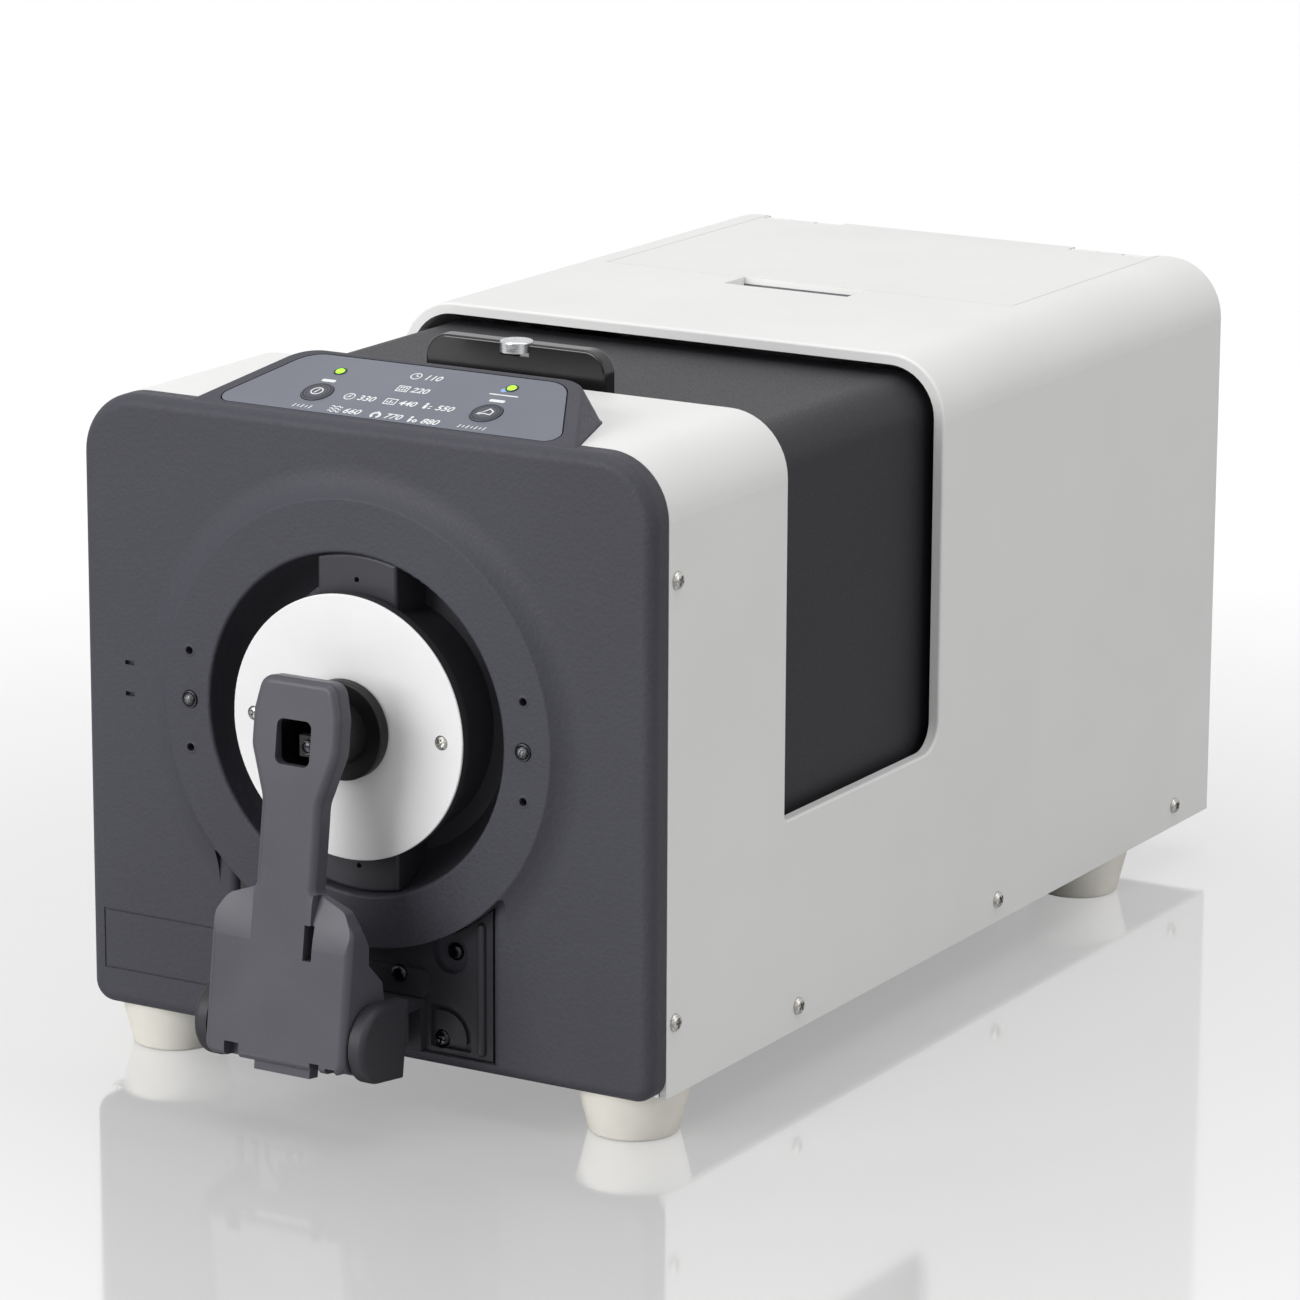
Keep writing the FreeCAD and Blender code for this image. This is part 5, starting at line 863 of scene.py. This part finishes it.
def screwTree():
    # points with a way out become pan-headed screws with a cross recess
    tree = Tree("panScrews", {"Head Radius": ("Float", screwLook["headRadius"] * mm),
                              "Head Height": ("Float", screwLook["headHeight"] * mm),
                              "Shank Radius": ("Float", screwLook["shankRadius"] * mm),
                              "Shank Length": ("Float", screwLook["shankLength"] * mm),
                              "Seed": ("Int", screwLook["seed"]), "Finish": ("Material", None)})
    screw = tree.node("GeometryNodeJoinGeometry", None, {"Geometry": [screwHead(tree), screwShank(tree)]})
    out = tree.node("GeometryNodeInputNamedAttribute", {"data_type": "FLOAT_VECTOR"}, {"Name": "out"})
    lean = tree.node("FunctionNodeAlignRotationToVector", {"axis": "Z"}, {"Vector": out})
    angle = tree.node("FunctionNodeRandomValue", {"data_type": "FLOAT"},
                      {2: 0.0, 3: math.pi, "Seed": tree.given("Seed")}, 1)
    spin = tree.node("FunctionNodeAxisAngleToRotation", None, {"Axis": (0.0, 0.0, 1.0), "Angle": angle})
    turned = tree.node("FunctionNodeRotateRotation", {"rotation_space": "LOCAL"}, {0: lean, 1: spin})
    placed = tree.node("GeometryNodeInstanceOnPoints", None,
                       {"Points": tree.given("Geometry"), "Instance": screw, "Rotation": turned})
    real = tree.node("GeometryNodeRealizeInstances", None, {"Geometry": placed})
    sharp = tree.node("FunctionNodeCompare", {"data_type": "FLOAT", "operation": "GREATER_THAN"},
                      {0: tree.node("GeometryNodeInputMeshEdgeAngle"), 1: sharpAngle})
    smooth = tree.node("GeometryNodeSetShadeSmooth", {"domain": "FACE"},
                       {"Geometry": real, "Shade Smooth": True})
    creased = tree.node("GeometryNodeSetShadeSmooth", {"domain": "EDGE"},
                        {"Geometry": smooth, "Selection": sharp, "Shade Smooth": False})
    return tree, tree.finish(tree.node("GeometryNodeSetMaterial", None,
                                       {"Geometry": creased, "Material": tree.given("Finish")}))


def grow(name, places, group, values):
    # runs a Geometry Nodes tree on points and keeps the result as a plain mesh
    mesh = bpy.data.meshes.new(name + "Points")
    mesh.from_pydata([tuple(place) for place, out in places], [], [])
    mesh.attributes.new("out", "FLOAT_VECTOR", "POINT")
    for item, (place, out) in zip(mesh.attributes["out"].data, places):
        item.vector = out
    holder = bpy.data.objects.new(name + "Points", mesh)
    scene.collection.objects.link(holder)
    growth = holder.modifiers.new("growth", "NODES")
    growth.node_group = group
    for key, value in values.items():
        growth[key] = value
    grown = bpy.data.meshes.new_from_object(holder.evaluated_get(bpy.context.evaluated_depsgraph_get()))
    holder.modifiers.remove(growth)
    bpy.data.objects.remove(holder)
    bpy.data.meshes.remove(mesh)
    grown.name = name
    return grown


screwNodes = {"case_screws": ("housing", "screw"), "mask_screws": ("housing", "screw"),
              "bracket_screws": ("housing", "blackScrew"), "foot_screws": ("housing", "screw"),
              "sphere_screws": ("housing", "screw"), "handle_screws": ("chamber_slider", "screw")}


def driveScrews():
    tree, group = screwTree()
    for node, (body, finishName) in screwNodes.items():
        spots = screwSpots(node)
        seat, out, length, radius = spots[0]
        values = {tree.keys["Head Radius"]: radius,
                  tree.keys["Shank Length"]: length - screwLook["headHeight"] * mm,
                  tree.keys["Finish"]: finishes[finishName]}
        mesh = grow(node + "Set", [spot[:2] for spot in spots], group, values)
        piece = addPiece(node + "Set", mesh, body, finishName)
        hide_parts(node)
        print(node, len(spots), "screws,", len(mesh.polygons), "faces")


driveScrews()


def turnInto(bm, sheet, profile, middle, steps):
    # turns a closed profile of (radius, lift) about a place on a sheet
    x, y = middle
    loops = []
    for radius, lift in profile:
        turns = [math.tau * i / steps for i in range(steps if radius > 0 else 1)]
        loops.append([bm.verts.new(sheet.at(x + radius * math.cos(turn), y + radius * math.sin(turn), lift))
                      for turn in turns])
    for near, far in zip(loops, loops[1:] + loops[:1]):
        for i in range(steps if len(near) + len(far) > 2 else 0):
            corners = []
            for loop, at in ((near, i), (near, i + 1), (far, i + 1), (far, i)):
                if loop[at % len(loop)] not in corners:
                    corners.append(loop[at % len(loop)])
            bm.faces.new(corners)


def turnPiece(name, sheet, profile, spots, body, finishName, steps=48):
    bm = bmesh.new()
    for spot in spots:
        turnInto(bm, sheet, profile, spot, steps)
    return addPiece(name, meshFrom(bm, name, True), body, finishName)


def frontSheet(middle):
    return Sheet(middle, Vector((1.0, 0.0, 0.0)), Vector((0.0, 0.0, 1.0)))


# profiles are closed, each point a radius and a lift off the face, in millimetres
ringLook = {"holeX": 78.4, "holeZ": 20.0,
            "rim": ((1.66, -0.4), (1.7, 0.1), (1.95, 0.24), (2.3, 0.2), (2.7, 0.0), (2.7, -0.4)),
            "sleeve": ((2.7, -0.5), (2.7, 0.55), (2.95, 0.75), (3.4, 0.65), (3.75, 0.1), (3.75, -0.5))}


def trimRing():
    # rims of the accessory holes, and a sleeve round each locating plunger
    low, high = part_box("locating_plungers")
    middle = (low + high) / 2
    middle.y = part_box("front_panel")[0].y
    face = frontSheet(middle)
    x, z = ringLook["holeX"], ringLook["holeZ"]
    holes = [(side * x, rise * z) for side in (-1, 1) for rise in (-1, 1)]
    turnPiece("accessoryRims", face, ringLook["rim"], holes, "housing", "panel")
    turnPiece("plungerSleeves", face, ringLook["sleeve"], [(-x, 0.0), (x, 0.0)], "housing", "blackScrew")


lensLook = {"barrel": ((2.05, 0.0), (2.05, 0.55), (2.3, 0.75), (2.8, 0.65), (2.98, 0.3), (2.98, -1.2),
                       (2.05, -1.2)),
            "glass": ((0.0, 0.5), (0.7, 0.46), (1.4, 0.32), (2.05, 0.05), (2.05, -0.3), (0.0, -0.3)),
            "iris": ((0.75, 0.44), (0.78, 0.5), (0.98, 0.46), (1.0, 0.4))}


def trimCamera():
    # barrel, front glass and iris ring of the viewing camera behind the arm's window
    low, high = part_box("viewing_camera")
    middle = (low + high) / 2
    middle.y = low.y
    face = frontSheet(middle)
    turnPiece("cameraBarrel", face, lensLook["barrel"], [(0.0, 0.0)], "arm", "gloss")
    turnPiece("cameraGlass", face, lensLook["glass"], [(0.0, 0.0)], "arm", "lens")
    turnPiece("cameraIris", face, lensLook["iris"], [(0.0, 0.0)], "arm", "blackScrew")


bezelLook = {"rim": ((2.05, -0.3), (2.05, 0.3), (2.25, 0.42), (2.6, 0.3), (2.8, 0.02), (2.8, -0.3)),
             "steps": 32}


def trimLamps(sheet):
    # a dark rim round each console lamp
    leds = nodes["console_leds"].data.vertices
    spots = []
    for side in (-1, 1):
        places = [vertex.co - sheet.middle for vertex in leds if vertex.co.x * side > sheet.middle.x * side]
        across = [place.dot(sheet.right) / mm for place in places]
        along = [place.dot(sheet.up) / mm for place in places]
        spots.append(((min(across) + max(across)) / 2, (min(along) + max(along)) / 2))
    turnPiece("lampRims", sheet, bezelLook["rim"], spots, "housing", "keyRing", bezelLook["steps"])


trimRing()
trimCamera()
trimLamps(consoleSheet())
print("front trimmed")


# place in millimetres, angles in degrees, focal length and frame in the photo's pixels
cameraLook = {"place": (1191.44, -2016.96, 725.49), "yaw": 30.5318, "pitch": 14.0612, "roll": 0.2641,
              "focal": 5647.763, "frame": 1300.0, "sensor": 36.0, "farthest": 50.0}


def standCamera():
    yaw, pitch, roll = [math.radians(cameraLook[key]) for key in ("yaw", "pitch", "roll")]
    back = Vector((math.sin(yaw) * math.cos(pitch), -math.cos(yaw) * math.cos(pitch), math.sin(pitch)))
    right = Vector((math.cos(yaw), math.sin(yaw), 0.0))
    up = back.cross(right)
    rolledRight = right * math.cos(roll) + up * math.sin(roll)
    rolledUp = up * math.cos(roll) - right * math.sin(roll)
    turn = Matrix((rolledRight, rolledUp, back)).transposed().to_4x4()
    lens = bpy.data.cameras.new("bench camera")
    lens.sensor_width = cameraLook["sensor"]
    lens.lens = cameraLook["focal"] / cameraLook["frame"] * cameraLook["sensor"]
    lens.clip_end = cameraLook["farthest"]
    camera = bpy.data.objects.new("bench camera", lens)
    camera.matrix_world = Matrix.Translation(Vector(cameraLook["place"]) * mm) @ turn
    scene.collection.objects.link(camera)
    scene.camera = camera


# lengths in metres
lampLook = {
    "overhead": {"place": (0.1, -0.2, 2.6), "aim": (0.0, 0.0, 0.1), "size": (2.6, 2.6), "watts": 34.5},
    "left": {"place": (-0.85, -2.0, 0.95), "aim": (0.0, -0.15, 0.14), "size": (1.2, 1.3), "watts": 30.0},
    "right": {"place": (2.8, 0.2, 1.4), "aim": (0.0, 0.0, 0.15), "size": (1.6, 2.0), "watts": 12.5},
}


def hangLamps():
    for name, look in lampLook.items():
        light = bpy.data.lights.new(name, "AREA")
        light.shape = "RECTANGLE"
        light.size, light.size_y = look["size"]
        light.energy = look["watts"]
        lamp = bpy.data.objects.new(name, light)
        place = Vector(look["place"])
        turn = (Vector(look["aim"]) - place).to_track_quat("-Z", "Y").to_matrix().to_4x4()
        lamp.matrix_world = Matrix.Translation(place) @ turn
        scene.collection.objects.link(lamp)


def seenDirectly(tree, mirrored):
    # 1 for rays that reach the camera straight or through glass, and a share for mirrored ones
    path = tree.nodes.new("ShaderNodeLightPath")
    dimmed = tree.nodes.new("ShaderNodeMath")
    dimmed.operation = "MULTIPLY"
    tree.links.new(path.outputs["Is Glossy Ray"], dimmed.inputs[0])
    dimmed.inputs[1].default_value = mirrored
    total = path.outputs["Is Camera Ray"]
    for other in (path.outputs["Is Transmission Ray"], dimmed.outputs[0]):
        both = tree.nodes.new("ShaderNodeMath")
        both.operation = "MAXIMUM"
        tree.links.new(total, both.inputs[0])
        tree.links.new(other, both.inputs[1])
        total = both.outputs[0]
    return total


worldLook = {"light": 0.36, "seen": 1.0, "mirrored": 0.8}


def fillWorld():
    world = bpy.data.worlds.new("studio")
    world.use_nodes = True
    scene.world = world
    tree = world.node_tree
    shade = tree.nodes["Background"]
    shade.inputs["Color"].default_value = (1.0, 1.0, 1.0, 1.0)
    level = tree.nodes.new("ShaderNodeMapRange")
    level.inputs["To Min"].default_value = worldLook["light"]
    level.inputs["To Max"].default_value = worldLook["seen"]
    tree.links.new(seenDirectly(tree, worldLook["mirrored"]), level.inputs["Value"])
    tree.links.new(level.outputs[0], shade.inputs["Strength"])


# the glow rises from near to far of the object, so the floor is painted darker round the object as painted
# shade; lengths in metres
floorLook = {"half": 7.0, "colour": (150, 150, 150), "rough": 0.6, "specular": 0.2, "mirror": 0.42,
             "mirrorRough": 0.07, "near": 0.3, "far": 0.9, "nearGlow": 0.6, "farGlow": 1.0}


def layFloor():
    look = floorLook
    half = look["half"]
    mesh = bpy.data.meshes.new("floor")
    mesh.from_pydata([(-half, -half, 0), (half, -half, 0), (half, half, 0), (-half, half, 0)], [],
                     [(0, 1, 2, 3)])
    floor = bpy.data.objects.new("floor", mesh)
    scene.collection.objects.link(floor)
    f = Finish("floorSheet")
    f.set(colour=linear(*look["colour"]), rough=look["rough"], specular=look["specular"])
    f.set(glow=(1.0, 1.0, 1.0))
    away = f.node("ShaderNodeVectorMath", {"operation": "LENGTH"}, {0: f.place()}, out="Value")
    # painted shade: the glow seen by the camera is weaker close to the object
    glow = f.spread(away, look["nearGlow"], look["farGlow"], look["near"], look["far"])
    f.set(glowPower=glow * Flow(f, seenDirectly(f.tree, 0.0)))
    mirror = f.node("ShaderNodeBsdfAnisotropic", None, {"Roughness": look["mirrorRough"]})
    sheet = Flow(f, f.shader.outputs[0])
    f.feed(f.output.inputs[0], f.node("ShaderNodeMixShader", None, {0: look["mirror"], 1: sheet, 2: mirror}))
    mesh.materials.append(f.material)


standCamera()
hangLamps()
fillWorld()
layFloor()
scene.view_settings.view_transform = "Standard"
print("studio ready")
